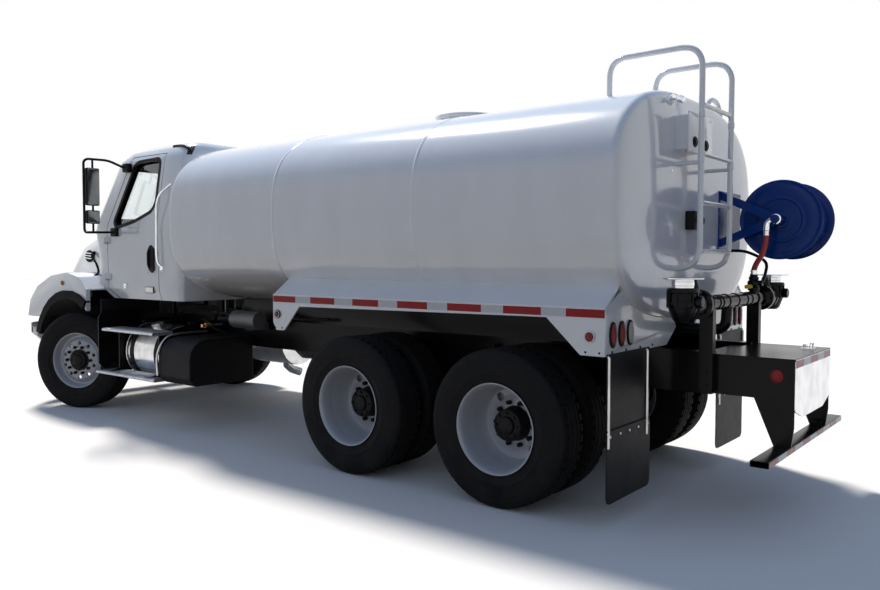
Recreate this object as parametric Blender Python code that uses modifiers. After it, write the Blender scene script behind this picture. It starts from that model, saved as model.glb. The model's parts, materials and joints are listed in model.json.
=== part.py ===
# Tanker truck: bonneted cab, tandem drive axles, welded tank, hose reel and spray manifold.
# Lengths are in metres. Stations (x) run forward from the middle of the tandem axles, y to the left
# and z up from the road. One empty shifts every piece so that the truck's middle is at x = 0.
import math

import bmesh
import bpy
from mathutils import Matrix, Vector

# Overall and running gear
front_reach = 5.99
rear_reach = 2.272
wheelbase = 4.92
tandem_spread = 1.321
tyre_radius = 0.515
tyre_width = 0.28
bead_radius = 0.2862
rim_flange_radius = 0.2985
rim_half_width = 0.117
dual_spacing = 0.335
outer_dual_y = 1.088
kingpin_y = 0.942
front_tyre_offset = 0.08
steer_angle = 25.0
wheel_sides = 16
spindle_radius = 0.07
front_spindle_radius = 0.04
# A spindle's corners face the middles of its bore's flats
half_flat = 180 / wheel_sides

# Frame
frame_half = 0.43
rail_top = 1.02
rail_depth = 0.265
rail_flange = 0.09
rail_wall = 0.012
rail_front = 5.62
rail_rear = -1.775

# Tank
tank_rear = -1.44
tank_front = 2.93
tank_half_width = 1.205
tank_top = 2.70
tank_bottom = 1.21
tank_roundness = 2.85
head_dish = 0.07
manhole_x = 0.45
manhole_radius = 0.26
manhole_height = 0.07
lid_hinge_x = manhole_x + manhole_radius + 0.04

# Cab and hood
cab_floor = 1.20
cab_wall = 0.07
glass_thickness = 0.006
door_gap = 0.006
hinge_y = 1.045
door_front = 4.37
door_rear = 3.44
hood_rear = 4.68
hood_skin = 0.045
arch_radius = 0.67
hood_pivot_x = 5.90
hood_pivot_z = 0.93

# Side equipment
fender_y = 1.22
fender_sheet = 0.012
step_y_inner = 0.98
step_y_outer = 1.19
fuel_tank_radius = 0.28

# Rear equipment
ladder_x = -1.67
ladder_left_y = 0.385
ladder_right_y = -0.165
ladder_rise = 0.255
stile_radius = 0.019
post_x = -1.755
post_thickness = 0.055
post_size = 0.085
manifold_z = 1.33
manifold_radius = 0.045
spray_head_y = 0.87
box_top = 1.013
box_rear = -rear_reach
reel_x = -1.91
reel_z = 1.885
reel_radius = 0.28
reel_axle_radius = 0.03
reel_near_y = -0.50
reel_far_y = -0.85
hose_radius = 0.019

seat = 0.0003
merge_distance = 0.00005

dual_mid_y = outer_dual_y - dual_spacing / 2
tank_middle_z = (tank_top + tank_bottom) / 2
tank_half_height = (tank_top - tank_bottom) / 2
rail_bottom = rail_top - rail_depth
axle_stations = {"front": tandem_spread / 2, "rear": -tandem_spread / 2}

finishes = {
    # name: colour, roughness, metallic
    "white_paint": ((0.80, 0.83, 0.87), 0.25, 0.0),
    "black_paint": ((0.02, 0.02, 0.022), 0.35, 0.0),
    "tyre_rubber": ((0.018, 0.018, 0.019), 0.85, 0.0),
    "grey_wheel_paint": ((0.50, 0.52, 0.55), 0.4, 0.2),
    "bright_steel": ((0.70, 0.71, 0.73), 0.12, 1.0),
    "tread_plate": ((0.55, 0.56, 0.58), 0.35, 1.0),
    "black_plastic": ((0.025, 0.025, 0.028), 0.6, 0.0),
    "flap_rubber": ((0.015, 0.015, 0.017), 0.7, 0.0),
    "glass": ((0.30, 0.36, 0.38), 0.05, 0.0),
    "seat_cloth": ((0.12, 0.12, 0.13), 0.9, 0.0),
    "reel_paint": ((0.01, 0.05, 0.30), 0.3, 0.0),
    "hose_rubber": ((0.45, 0.03, 0.04), 0.55, 0.0),
    "grey_iron": ((0.30, 0.31, 0.32), 0.5, 0.6),
}


def clear_scene():
    for old in list(bpy.data.objects):
        bpy.data.objects.remove(old)


def make_collection(name):
    collection = bpy.data.collections.new(name)
    bpy.context.scene.collection.children.link(collection)
    return collection


def make_finish(name):
    material = bpy.data.materials.get(name)
    if material is None:
        colour, roughness, metallic = finishes[name]
        material = bpy.data.materials.new(name)
        material.use_nodes = True
        shader = material.node_tree.nodes["Principled BSDF"]
        shader.inputs["Base Color"].default_value = (*colour, 1.0)
        shader.inputs["Roughness"].default_value = roughness
        shader.inputs["Metallic"].default_value = metallic
    return material


def add_piece(name, mesh, finish):
    piece = bpy.data.objects.new(name, mesh)
    parts.objects.link(piece)
    piece.parent = truck
    mesh.materials.clear()
    mesh.materials.append(make_finish(finish))
    return piece


def as_cutter(piece):
    parts.objects.unlink(piece)
    cutters.objects.link(piece)
    piece.hide_render = True
    piece.display_type = "WIRE"
    return piece


def boolean(piece, other, operation):
    step = piece.modifiers.new(operation.lower(), "BOOLEAN")
    step.operation = operation
    step.solver = "EXACT"
    step.object = as_cutter(other)
    return piece


def unite(piece, *others):
    for other in others:
        boolean(piece, other, "UNION")
    return piece


def cut(piece, *others):
    for other in others:
        boolean(piece, other, "DIFFERENCE")
    return piece


def keep_inside(piece, other):
    return boolean(piece, other, "INTERSECT")


def finish_mesh(form, name, finish, smooth=None):
    mesh = bpy.data.meshes.new(name)
    bmesh.ops.recalc_face_normals(form, faces=form.faces)
    form.to_mesh(mesh)
    form.free()
    if smooth is not None:
        mesh.shade_smooth()
        mesh.set_sharp_from_angle(angle=math.radians(smooth))
    return add_piece(name, mesh, finish)


def make_box(name, low, high, finish):
    form = bmesh.new()
    bmesh.ops.create_cube(form, size=1.0)
    size = Vector(high) - Vector(low)
    middle = (Vector(high) + Vector(low)) / 2
    bmesh.ops.transform(form, matrix=Matrix.Translation(middle) @ Matrix.Diagonal((*size, 1.0)),
                        verts=form.verts)
    return finish_mesh(form, name, finish)


def make_rod(name, start, end, radius, finish, sides=12, end_radius=None, spin=0.0):
    # The spin, in degrees, turns the flats about the rod's own axis
    form = bmesh.new()
    run = Vector(end) - Vector(start)
    turn = Vector((0, 0, 1)).rotation_difference(run.normalized()).to_matrix().to_4x4()
    turn = turn @ Matrix.Rotation(math.radians(spin), 4, "Z")
    place = Matrix.Translation((Vector(start) + Vector(end)) / 2) @ turn
    bmesh.ops.create_cone(form, cap_ends=True, segments=sides, radius1=radius,
                          radius2=radius if end_radius is None else end_radius,
                          depth=run.length, matrix=place)
    return finish_mesh(form, name, finish, smooth=35)


def curve_to_piece(curve, matrix, name, finish):
    drawing = bpy.data.objects.new(name + "_curve", curve)
    parts.objects.link(drawing)
    drawing.matrix_world = matrix
    bpy.context.view_layer.update()
    graph = bpy.context.evaluated_depsgraph_get()
    mesh = bpy.data.meshes.new_from_object(drawing.evaluated_get(graph))
    form = bmesh.new()
    form.from_mesh(mesh)
    bmesh.ops.remove_doubles(form, verts=form.verts, dist=merge_distance)
    bmesh.ops.transform(form, matrix=drawing.matrix_world, verts=form.verts)
    bpy.data.objects.remove(drawing)
    return finish_mesh(form, name, finish, smooth=35)


# The plane of a drawing: which way its own x, y and its thickness run
drawing_planes = {
    "XZ": Matrix(((1, 0, 0, 0), (0, 0, -1, 0), (0, 1, 0, 0), (0, 0, 0, 1))),
    "YZ": Matrix(((0, 0, 1, 0), (1, 0, 0, 0), (0, 1, 0, 0), (0, 0, 0, 1))),
    "XY": Matrix.Identity(4),
}


def make_plate(name, outline, plane, near, far, finish):
    curve = bpy.data.curves.new(name, "CURVE")
    curve.dimensions = "2D"
    curve.fill_mode = "BOTH"
    curve.extrude = abs(far - near) / 2
    line = curve.splines.new("POLY")
    line.points.add(len(outline) - 1)
    for point, (across, up) in zip(line.points, outline):
        point.co = (across, up, 0, 1)
    line.use_cyclic_u = True
    turn = drawing_planes[plane]
    middle = (near + far) / 2
    if plane == "XZ":
        middle = -middle
    return curve_to_piece(curve, turn @ Matrix.Translation((0, 0, middle)), name, finish)


def make_tube(name, points, radius, finish, resolution=1):
    curve = bpy.data.curves.new(name, "CURVE")
    curve.dimensions = "3D"
    curve.bevel_depth = radius
    curve.bevel_resolution = resolution
    curve.use_fill_caps = True
    line = curve.splines.new("POLY")
    line.points.add(len(points) - 1)
    for point, place in zip(line.points, points):
        point.co = (*place, 1)
    return curve_to_piece(curve, Matrix.Identity(4), name, finish)


def make_turned(name, profile, finish, matrix, sides=wheel_sides, closed=False):
    # A profile of (radius, height) pairs, running down its outer side, turned about the height axis
    mesh = bpy.data.meshes.new(name)
    count = len(profile)
    edges = [(i, i + 1) for i in range(count - 1)]
    if closed:
        edges.append((count - 1, 0))
    mesh.from_pydata([(radius, 0, height) for radius, height in profile], edges, [])
    piece = add_piece(name, mesh, finish)
    turn = piece.modifiers.new("turn", "SCREW")
    turn.steps = sides
    turn.render_steps = sides
    turn.use_merge_vertices = True
    turn.merge_threshold = merge_distance
    turn.use_smooth_shade = True
    piece.matrix_local = matrix
    return piece


def make_loft(name, rings, finish, smooth=30):
    # Rings with the same number of points, joined side by side, with a flat cap at each end
    form = bmesh.new()
    rows = [[form.verts.new(point) for point in ring] for ring in rings]
    count = len(rows[0])
    for near, far in zip(rows, rows[1:]):
        for i in range(count):
            j = (i + 1) % count
            form.faces.new((near[i], near[j], far[j], far[i]))
    form.faces.new(rows[0])
    form.faces.new(rows[-1])
    return finish_mesh(form, name, finish, smooth)


def about_y(x, y, z, spin=0.0):
    # Turned pieces lie on their side: their height axis becomes +Y
    return Matrix.Translation((x, y, z)) @ Matrix.Rotation(math.radians(spin), 4, "Z") \
        @ Matrix.Rotation(math.radians(-90), 4, "X")


def round_corner(centre, radius, start, end, steps):
    angles = [math.radians(start + (end - start) * i / steps) for i in range(steps + 1)]
    return [(centre[0] + radius * math.cos(a), centre[1] + radius * math.sin(a)) for a in angles]


def rounded_rectangle(x0, x1, y0, y1, radius, steps=3):
    return (round_corner((x1 - radius, y1 - radius), radius, 0, 90, steps)
            + round_corner((x0 + radius, y1 - radius), radius, 90, 180, steps)
            + round_corner((x0 + radius, y0 + radius), radius, 180, 270, steps)
            + round_corner((x1 - radius, y0 + radius), radius, 270, 360, steps))


def sorted_pair(sign, a, b):
    return sorted((sign * a, sign * b))


def bore_radius(pin_radius, sides):
    # A bore's flats clear the corners of the pin that turns in it
    return (pin_radius + seat) / math.cos(math.pi / sides)


def hang(joint_name, point, *pieces):
    # Parents the pieces to an empty on their joint's axis, and leaves them where they are
    joint = bpy.data.objects.new(joint_name, None)
    parts.objects.link(joint)
    joint.parent = truck
    joint.location = point
    bpy.context.view_layer.update()
    for piece in pieces:
        piece.parent = joint
        piece.matrix_parent_inverse = joint.matrix_world.inverted()


# Tank

def tank_ring(x, shrink=0.0, sides=32):
    power = 2 / tank_roundness
    ring = []
    for i in range(sides):
        angle = 2 * math.pi * (i + 0.5) / sides
        across = math.copysign(abs(math.cos(angle)) ** power, math.cos(angle))
        up = math.copysign(abs(math.sin(angle)) ** power, math.sin(angle))
        ring.append((x, (tank_half_width - shrink) * across,
                     tank_middle_z + (tank_half_height - shrink) * up))
    return ring


def tank_height(y, upper):
    # Height of the faceted barrel at a distance y from the middle, on its top or its underside
    ring = [(point[1], point[2]) for point in tank_ring(0) if (point[2] > tank_middle_z) == upper]
    ring.sort()
    for (y0, z0), (y1, z1) in zip(ring, ring[1:]):
        if y0 <= y <= y1:
            return z0 + (z1 - z0) * (y - y0) / (y1 - y0)
    return tank_middle_z


def tank_side(z):
    ring = sorted((point[2], point[1]) for point in tank_ring(0) if point[1] > 0)
    for (z0, y0), (z1, y1) in zip(ring, ring[1:]):
        if z0 <= z <= z1:
            return y0 + (y1 - y0) * (z - z0) / (z1 - z0)
    return 0.0


# Heads: station past the barrel's end as a share of the dish, and how far the ring shrinks
head_rings = [(0.0, 0.0), (0.16, 0.008), (0.55, 0.09), (0.80, 0.21), (0.93, 0.40)]


def head_station(z):
    # Station of the rear head's surface at a height z, near the truck's middle plane
    depth = tank_half_height - abs(z - tank_middle_z)
    for (share0, shrink0), (share1, shrink1) in zip(head_rings, head_rings[1:]):
        if shrink0 <= depth <= shrink1:
            share = share0 + (share1 - share0) * (depth - shrink0) / (shrink1 - shrink0)
            return tank_rear - head_dish * share
    return tank_rear - head_dish * head_rings[-1][0]


def make_tank():
    rear = [tank_ring(tank_rear - head_dish * share, shrink) for share, shrink in reversed(head_rings)]
    front = [tank_ring(tank_front + head_dish * share, shrink) for share, shrink in head_rings]
    tank = make_loft("tank", rear + front, "white_paint")
    collar = make_rod("manhole_collar", (manhole_x, 0, tank_top - 0.05),
                      (manhole_x, 0, tank_top + manhole_height),
                      manhole_radius, "white_paint", sides=24)
    return unite(tank, collar)


def make_manhole_lid():
    base = tank_top + manhole_height + seat
    lid = make_turned("manhole_lid", [(0, base + 0.035), (manhole_radius * 0.7, base + 0.03),
                                      (manhole_radius + 0.015, base + 0.012), (manhole_radius + 0.015, base),
                                      (0, base)], "white_paint", Matrix.Translation((manhole_x, 0, 0)))
    knuckle = make_box("lid_knuckle", (manhole_x + manhole_radius - 0.01, -0.05, base),
                       (lid_hinge_x + 0.01, 0.05, base + 0.022), "white_paint")
    unite(lid, knuckle)
    hang("lid_hinge", (lid_hinge_x, 0, base), lid)


# Running gear

def make_tyre(name, matrix, middle):
    half = tyre_width / 2
    bead_half = rim_half_width - 0.0004
    profile = [(tyre_radius - 0.028, half - 0.012), (tyre_radius, half - 0.042),
               (tyre_radius, -half + 0.042), (tyre_radius - 0.028, -half + 0.012),
               (0.41, -half), (bead_radius, -bead_half), (bead_radius, bead_half), (0.41, half)]
    profile = [(radius, height + middle) for radius, height in profile]
    return make_turned(name, profile, "tyre_rubber", matrix, closed=True)


rim_seat_radius = bead_radius - seat * 2.5
hub_radius = 0.115


def make_dual_wheels(name, matrix):
    edge = dual_spacing / 2 + rim_half_width
    outer_middle = dual_spacing / 2
    flange = outer_middle + rim_half_width
    bore = bore_radius(spindle_radius, wheel_sides)
    profile = [
        (0, 0.165), (0.085, 0.162), (hub_radius, 0.13), (hub_radius, 0.03), (0.245, 0.03),
        (0.268, edge + 0.008), (rim_flange_radius, edge + 0.012), (rim_seat_radius, flange),
        (rim_seat_radius, -flange), (rim_flange_radius, -edge - 0.012), (0.268, -edge - 0.008),
        (0.245, -0.03),
        (hub_radius, -0.03), (hub_radius, -0.16), (bore, -0.16), (bore, -0.02), (0, -0.02)]
    return make_turned(name, profile, "grey_wheel_paint", matrix)


def make_front_wheel(name, matrix):
    edge = rim_half_width
    bore = bore_radius(front_spindle_radius, wheel_sides)
    profile = [
        # radius, height past the middle of the tyre
        (0, 0.135), (0.085, 0.130), (0.095, 0.092), (0.205, 0.085), (0.245, 0.055), (0.268, edge + 0.008),
        (rim_flange_radius, edge + 0.012), (rim_seat_radius, edge), (rim_seat_radius, -edge),
        (rim_flange_radius, -edge - 0.012), (0.268, -edge - 0.008), (0.24, 0.02), (0.12, 0.05),
        (0.12, 0.025),
        (bore, 0.025), (bore, 0.11), (0, 0.11)]
    profile = [(radius, height + front_tyre_offset) for radius, height in profile]
    return make_turned(name, profile, "grey_wheel_paint", matrix)


def make_wheels():
    for side, sign in (("left", 1), ("right", -1)):
        flip = 0 if sign > 0 else 180
        for axle, station in axle_stations.items():
            place = about_y(station, sign * dual_mid_y, tyre_radius, flip)
            make_tyre(f"tyre_{axle}_{side}_outer", place, dual_spacing / 2)
            make_tyre(f"tyre_{axle}_{side}_inner", place, -dual_spacing / 2)
            make_dual_wheels(f"wheels_{axle}_{side}", place)
        place = about_y(wheelbase, sign * kingpin_y, tyre_radius, flip + steer_angle)
        make_tyre(f"tyre_steer_{side}", place, front_tyre_offset)
        make_front_wheel(f"wheel_steer_{side}", place)


axle_z = tyre_radius
boss_half = 0.065
kingpin_radius = 0.022
arm_reach = 0.21
arm_offset = 0.105
arm_low_z = 0.358
arm_high_z = 0.402
tie_rod_z = 0.335
stud_radius = 0.012


def turned_point(pivot, offset, angle):
    c, s = math.cos(math.radians(angle)), math.sin(math.radians(angle))
    return (pivot[0] + offset[0] * c - offset[1] * s, pivot[1] + offset[0] * s + offset[1] * c)


def make_knuckle(side, sign):
    # Modelled straight ahead about its kingpin, then turned with the wheels
    gap = 0.006
    pin = make_rod(f"knuckle_{side}", (0, 0, -boss_half - 0.05), (0, 0, boss_half + 0.05), kingpin_radius,
                   "black_paint", sides=12)
    low = make_box("lug_low", (-0.05, min(-0.05 * sign, 0.095 * sign), -boss_half - 0.05),
                   (0.05, max(-0.05 * sign, 0.095 * sign), -boss_half - gap), "black_paint")
    high = make_box("lug_high", (-0.05, min(-0.05 * sign, 0.095 * sign), boss_half + gap),
                    (0.05, max(-0.05 * sign, 0.095 * sign), boss_half + 0.05), "black_paint")
    web = make_box("web", (-0.05, min(0.062 * sign, 0.085 * sign), -boss_half - 0.045),
                   (0.05, max(0.062 * sign, 0.085 * sign), boss_half + 0.045), "black_paint")
    spindle = make_rod("spindle", (0, 0.08 * sign, 0), (0, (front_tyre_offset + 0.108) * sign, 0),
                       front_spindle_radius, "black_paint", wheel_sides, spin=half_flat)
    arm_low, arm_high = arm_low_z - axle_z, arm_high_z - axle_z
    reach, offset = -arm_reach, -sign * arm_offset
    arm_plan = [(0.03, 0.025), (-0.04, 0.03), (reach, offset + 0.025), (reach - 0.025, offset),
                (reach, offset - 0.025), (0.0, -0.03), (0.03, -0.025)]
    arm = make_plate("arm", arm_plan, "XY", arm_low, arm_high, "black_paint")
    pieces = [pin, low, high, web, spindle, arm]
    if side == "left":
        # The linkage is open at the right-hand eye, so only the left arm has a stud
        pieces.append(make_rod("stud", (reach, offset, arm_low + 0.01), (reach, offset, arm_low - 0.045),
                               stud_radius, "black_paint"))
    for piece in pieces:
        piece.matrix_local = Matrix.Translation((wheelbase, sign * kingpin_y, axle_z)) \
            @ Matrix.Rotation(math.radians(steer_angle), 4, "Z")
    return unite(*pieces)


def make_tie_rod():
    left = turned_point((wheelbase, kingpin_y), (-arm_reach, -arm_offset), steer_angle)
    right = turned_point((wheelbase, -kingpin_y), (-arm_reach, arm_offset), steer_angle)
    along = (Vector(right) - Vector(left)).normalized() * 0.02
    rod = make_rod("tie_rod", (left[0] + along[0], left[1] + along[1], tie_rod_z),
                   (right[0] - along[0], right[1] - along[1], tie_rod_z), 0.015, "black_paint")
    for x, y in (left, right):
        unite(rod, make_rod("eye", (x, y, tie_rod_z - 0.0165), (x, y, tie_rod_z + 0.0165), 0.03,
                            "black_paint"))
    cut(rod, make_rod("eye_bore", (*left, tie_rod_z - 0.05), (*left, tie_rod_z + 0.05),
                      bore_radius(stud_radius, 12), "black_paint"))
    hang("tie_rod_pivot", (left[0], left[1], tie_rod_z), rod)


spring_y = frame_half
spring_width = 0.085
spring_ends = (wheelbase - 0.62, wheelbase + 0.64)
spring_eye_z = 0.66
beam_half = 0.045


def make_front_axle():
    # Half of the beam's outline across the truck, from its dropped middle to the kingpin boss
    half = [(0.62, 0.34), (0.80, axle_z - boss_half), (kingpin_y, axle_z - boss_half),
            (kingpin_y, axle_z + boss_half), (0.78, axle_z + boss_half), (0.60, 0.425)]
    outline = half + [(-y, z) for y, z in reversed(half)]
    beam = make_plate("front_axle", outline, "YZ", wheelbase - beam_half, wheelbase + beam_half,
                      "black_paint")
    for sign in (1, -1):
        unite(beam, make_rod("boss", (wheelbase, sign * kingpin_y, axle_z - boss_half),
                             (wheelbase, sign * kingpin_y, axle_z + boss_half), beam_half + 0.005,
                             "black_paint"))
        cut(beam, make_rod("boss_bore", (wheelbase, sign * kingpin_y, axle_z - 0.1),
                           (wheelbase, sign * kingpin_y, axle_z + 0.1), bore_radius(kingpin_radius, 12),
                           "black_paint", 12))
        unite(beam, make_leaf_spring("front_leaf", sign))
    return beam


def make_leaf_spring(name, sign):
    rear, front = spring_ends
    centre = wheelbase
    low = axle_z - 0.10
    upper = [(rear, spring_eye_z), (rear + 0.3, low + 0.12), (centre, low + 0.075),
             (front - 0.3, low + 0.12),
             (front, spring_eye_z)]
    lower = [(front, spring_eye_z - 0.022), (front - 0.3, low + 0.085), (centre + 0.12, low),
             (centre - 0.12, low),
             (rear + 0.3, low + 0.085), (rear, spring_eye_z - 0.022)]
    near, far = spring_y - spring_width / 2, spring_y + spring_width / 2
    spring = make_plate(name, upper + lower, "XZ", sign * near, sign * far, "black_paint")
    return spring


pinion_reach = 0.27
pinion_z = axle_z + 0.08


def make_drive_axle(name, station):
    reach = dual_mid_y - 0.03
    axle = make_rod(name, (station, -reach, axle_z), (station, reach, axle_z), spindle_radius, "black_paint",
                    wheel_sides, spin=half_flat)
    bowl = make_turned("bowl", [(0, 0.16), (0.19, 0.05), (0.19, -0.05), (0, -0.16)], "black_paint",
                       Matrix.Translation((station, 0, axle_z)) @ Matrix.Rotation(math.radians(90), 4, "Y"),
                       12)
    pinion = make_rod("pinion", (station + 0.10, 0, pinion_z), (station + pinion_reach, 0, pinion_z), 0.07,
                      "black_paint", 10)
    unite(axle, bowl, pinion)
    for sign in (1, -1):
        drum = make_rod("brake_drum", (station, sign * 0.565, axle_z), (station, sign * 0.64, axle_z), 0.19,
                        "black_paint")
        unite(axle, drum)
    return axle


tandem_spring_y = 0.50
trunnion_z = 0.70


def make_tandem_suspension():
    reach = tandem_spread / 2
    under = axle_z + spindle_radius * math.cos(math.radians(half_flat)) + seat
    near, far = frame_half + seat, tandem_spring_y + 0.05
    suspension = make_rod("tandem_suspension", (0, -far, trunnion_z - 0.04), (0, far, trunnion_z - 0.04),
                          0.05,
                          "black_paint")
    leaf = [(-reach - 0.09, under), (-reach + 0.09, under), (-0.12, trunnion_z - 0.075),
            (0.12, trunnion_z - 0.075),
            (reach - 0.09, under), (reach + 0.09, under), (reach + 0.09, under + 0.03),
            (0.12, trunnion_z + 0.06),
            (-0.12, trunnion_z + 0.06), (-reach - 0.09, under + 0.03)]
    bracket = [(-0.17, rail_top - 0.05), (-0.10, trunnion_z - 0.06), (0.10, trunnion_z - 0.06),
               (0.17, rail_top - 0.05)]
    for sign in (1, -1):
        unite(suspension, make_plate("leaf", leaf, "XZ", sign * (far - 0.07), sign * far, "black_paint"))
        unite(suspension, make_plate("bracket", bracket, "XZ", sign * near, sign * (near + 0.06),
                                     "black_paint"))
    return suspension


gearbox_rear = 3.50
gearbox_z = 0.962


def make_driveshaft():
    # A tube between two flanges that face the gearbox and the pinion
    front_x = gearbox_rear - seat
    rear_x = axle_stations["front"] + pinion_reach + seat
    shaft = make_rod("driveshaft", (front_x - 0.03, 0, gearbox_z), (rear_x + 0.03, 0, pinion_z), 0.05,
                     "black_paint", 12)
    unite(shaft, make_rod("front_flange", (front_x - 0.06, 0, gearbox_z), (front_x, 0, gearbox_z), 0.07,
                          "black_paint"))
    unite(shaft, make_rod("rear_flange", (rear_x, 0, pinion_z), (rear_x + 0.06, 0, pinion_z), 0.07,
                          "black_paint"))
    return shaft


# Frame, bumper and driveline

crossmember_table = [
    # station, low z, high z
    (rail_rear + 0.075, rail_bottom + 0.02, rail_top - 0.02),
    (-0.98, rail_top - 0.12, rail_top - 0.03),
    (-0.28, rail_top - 0.12, rail_top - 0.03),
    (0.28, rail_top - 0.12, rail_top - 0.03),
    (1.00, rail_top - 0.12, rail_top - 0.03),
    (1.75, rail_top - 0.10, rail_top - 0.03),
    (2.50, rail_top - 0.10, rail_top - 0.03),
    (3.25, rail_bottom, rail_bottom + 0.04),
    (4.00, rail_bottom, rail_bottom + 0.035),
    (4.75, rail_bottom, rail_bottom + 0.035),
    (rail_front - 0.17, rail_bottom, rail_bottom + 0.10)]


saddle_count = 7
cab_mount_stations = (3.30, 4.15)
splash_guard_x = 4.325
splash_guard = [(0.66, 0.47), (1.10, 0.47), (1.155, 0.53), (1.155, 1.00), (1.10, 1.08), (0.66, 1.08)]
hood_pin_radius = 0.012
horn_y = (frame_half - 0.085, frame_half - 0.065)
lug_y = (horn_y[1] + seat, horn_y[1] + 0.03)
hood_horn = [(5.50, 0.875), (5.90, hood_pivot_z - 0.03), (5.93, hood_pivot_z), (5.90, hood_pivot_z + 0.03),
             (5.60, rail_top - 0.006), (5.50, rail_top - 0.006)]
hood_lug = [(5.888, 1.012), (5.872, hood_pivot_z), (5.88, hood_pivot_z - 0.024),
            (5.90, hood_pivot_z - 0.028),
            (5.92, hood_pivot_z - 0.024), (5.928, hood_pivot_z), (5.925, 1.012)]


def make_frame():
    inner = frame_half - rail_flange
    channel = [(frame_half, rail_bottom), (frame_half, rail_top), (inner, rail_top),
               (inner, rail_top - rail_wall),
               (frame_half - rail_wall, rail_top - rail_wall),
               (frame_half - rail_wall, rail_bottom + rail_wall),
               (inner, rail_bottom + rail_wall), (inner, rail_bottom)]
    frame = make_plate("frame", channel, "YZ", rail_rear, rail_front, "black_paint")
    unite(frame, make_plate("right_rail", [(-y, z) for y, z in channel], "YZ", rail_rear, rail_front,
                            "black_paint"))
    web = frame_half - rail_wall / 2
    for station, low, high in crossmember_table:
        unite(frame, make_box("crossmember", (station - 0.04, -web, low), (station + 0.04, web, high),
                              "black_paint"))
    near, far = spring_y - spring_width / 2, spring_y + spring_width / 2
    for sign in (1, -1):
        y0, y1 = sorted((sign * near, sign * (far - 0.01)))
        for station in spring_ends:
            unite(frame, make_box("spring_hanger", (station - 0.05, y0, spring_eye_z + seat),
                                  (station + 0.05, y1, rail_bottom + 0.01), "black_paint"))
    for sign in (1, -1):
        y0, y1 = sorted((sign * (frame_half - 0.08), sign * (frame_half - 0.005)))
        unite(frame, make_box("sill", (tank_rear + 0.02, y0, rail_top - 0.002),
                              (tank_front - 0.05, y1, tank_height(frame_half - 0.08, False) - seat),
                              "black_paint"))
    for sign in (1, -1):
        unite(frame, make_plate("hood_horn", hood_horn, "XZ", sign * horn_y[0], sign * horn_y[1],
                                "black_paint"))
        unite(frame, make_rod("hood_pin", (hood_pivot_x, sign * (horn_y[0] + 0.005), hood_pivot_z),
                              (hood_pivot_x, sign * (lug_y[1] + 0.01), hood_pivot_z), hood_pin_radius,
                              "black_paint", 12))
        mount_y = sign * (frame_half - rail_flange / 2)
        for station in cab_mount_stations:
            unite(frame, make_rod("cab_mount", (station, mount_y, rail_top - 0.01),
                                  (station, mount_y, cab_floor - seat), 0.04, "black_paint", 10))
        unite(frame, make_plate("splash_guard", [(sign * y, z) for y, z in splash_guard], "YZ",
                                splash_guard_x, splash_guard_x + 0.015, "black_paint"))
        unite(frame, make_rod("guard_stay", (splash_guard_x + 0.007, sign * (frame_half - 0.006), 0.95),
                              (splash_guard_x + 0.007, sign * 0.70, 0.95), 0.02, "black_paint", 8))
    saddle_pitch = (tank_front - tank_rear - 0.41) / (saddle_count - 1)
    for i in range(saddle_count):
        station = tank_rear + 0.22 + i * saddle_pitch
        unite(frame, make_box("saddle", (station - 0.03, -frame_half + 0.02, rail_top + 0.04),
                              (station + 0.03, frame_half - 0.02, tank_bottom - seat), "black_paint"))
    return frame


bumper_top = 0.885
bumper_bottom = 0.52


def make_bumper():
    # Swept back toward its ends
    outline = [(front_reach, -0.55), (front_reach, 0.55), (front_reach - 0.05, 0.95),
               (front_reach - 0.20, 1.17),
               (front_reach - 0.24, 1.17), (front_reach - 0.09, 0.93), (front_reach - 0.045, 0.53),
               (front_reach - 0.045, -0.53), (front_reach - 0.09, -0.93), (front_reach - 0.24, -1.17),
               (front_reach - 0.20, -1.17), (front_reach - 0.05, -0.95)]
    bumper = make_plate("bumper", outline, "XY", bumper_bottom, bumper_top, "bright_steel")
    for sign in (1, -1):
        corner = [(sign * 0.80, bumper_bottom - 0.01), (sign * 1.20, bumper_top - 0.10),
                  (sign * 1.20, bumper_bottom - 0.01)]
        cut(bumper, make_plate("bumper_corner", corner, "YZ", front_reach - 0.40, front_reach + 0.05,
                               "bright_steel"))
    for sign in (1, -1):
        y0, y1 = sorted((sign * (frame_half - 0.10), sign * frame_half))
        unite(bumper, make_box("bumper_bracket", (rail_front + seat, y0, rail_bottom + 0.02),
                               (front_reach - 0.02, y1, rail_bottom + 0.10), "black_paint"))
    return bumper


def make_engine():
    engine = make_box("engine", (4.62, -0.33, rail_bottom + 0.035 + seat), (5.36, 0.33, 1.62), "grey_iron")
    gearbox = make_rod("gearbox", (gearbox_rear, 0, gearbox_z), (4.70, 0, gearbox_z), 0.10, "grey_iron",
                       end_radius=0.17)
    return unite(engine, gearbox)


# Cab

# Height, rear station, front station, half width, corner radius
cab_levels = [
    (1.20, 3.10, 4.36, 0.98, 0.05),
    (1.30, 3.08, 4.52, 1.01, 0.06),
    (1.90, 3.05, 4.65, 1.02, 0.08),
    (1.98, 3.05, 4.63, 1.015, 0.08),
    (2.60, 3.07, 4.33, 0.915, 0.10),
    (2.69, 3.10, 4.21, 0.86, 0.12),
    (2.74, 3.17, 4.04, 0.77, 0.12),
]


def cab_form(name, inset):
    rings = []
    last = len(cab_levels) - 1
    for i, (z, rear, front, half, corner) in enumerate(cab_levels):
        height = z + inset if i == 0 else z - inset if i == last else z - inset * i / last * 0.5
        outline = rounded_rectangle(rear + inset, front - inset, -half + inset, half - inset,
                                    max(corner - inset / 2, 0.02))
        rings.append([(x, y, height) for x, y in outline])
    return make_loft(name, rings, "white_paint")


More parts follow.
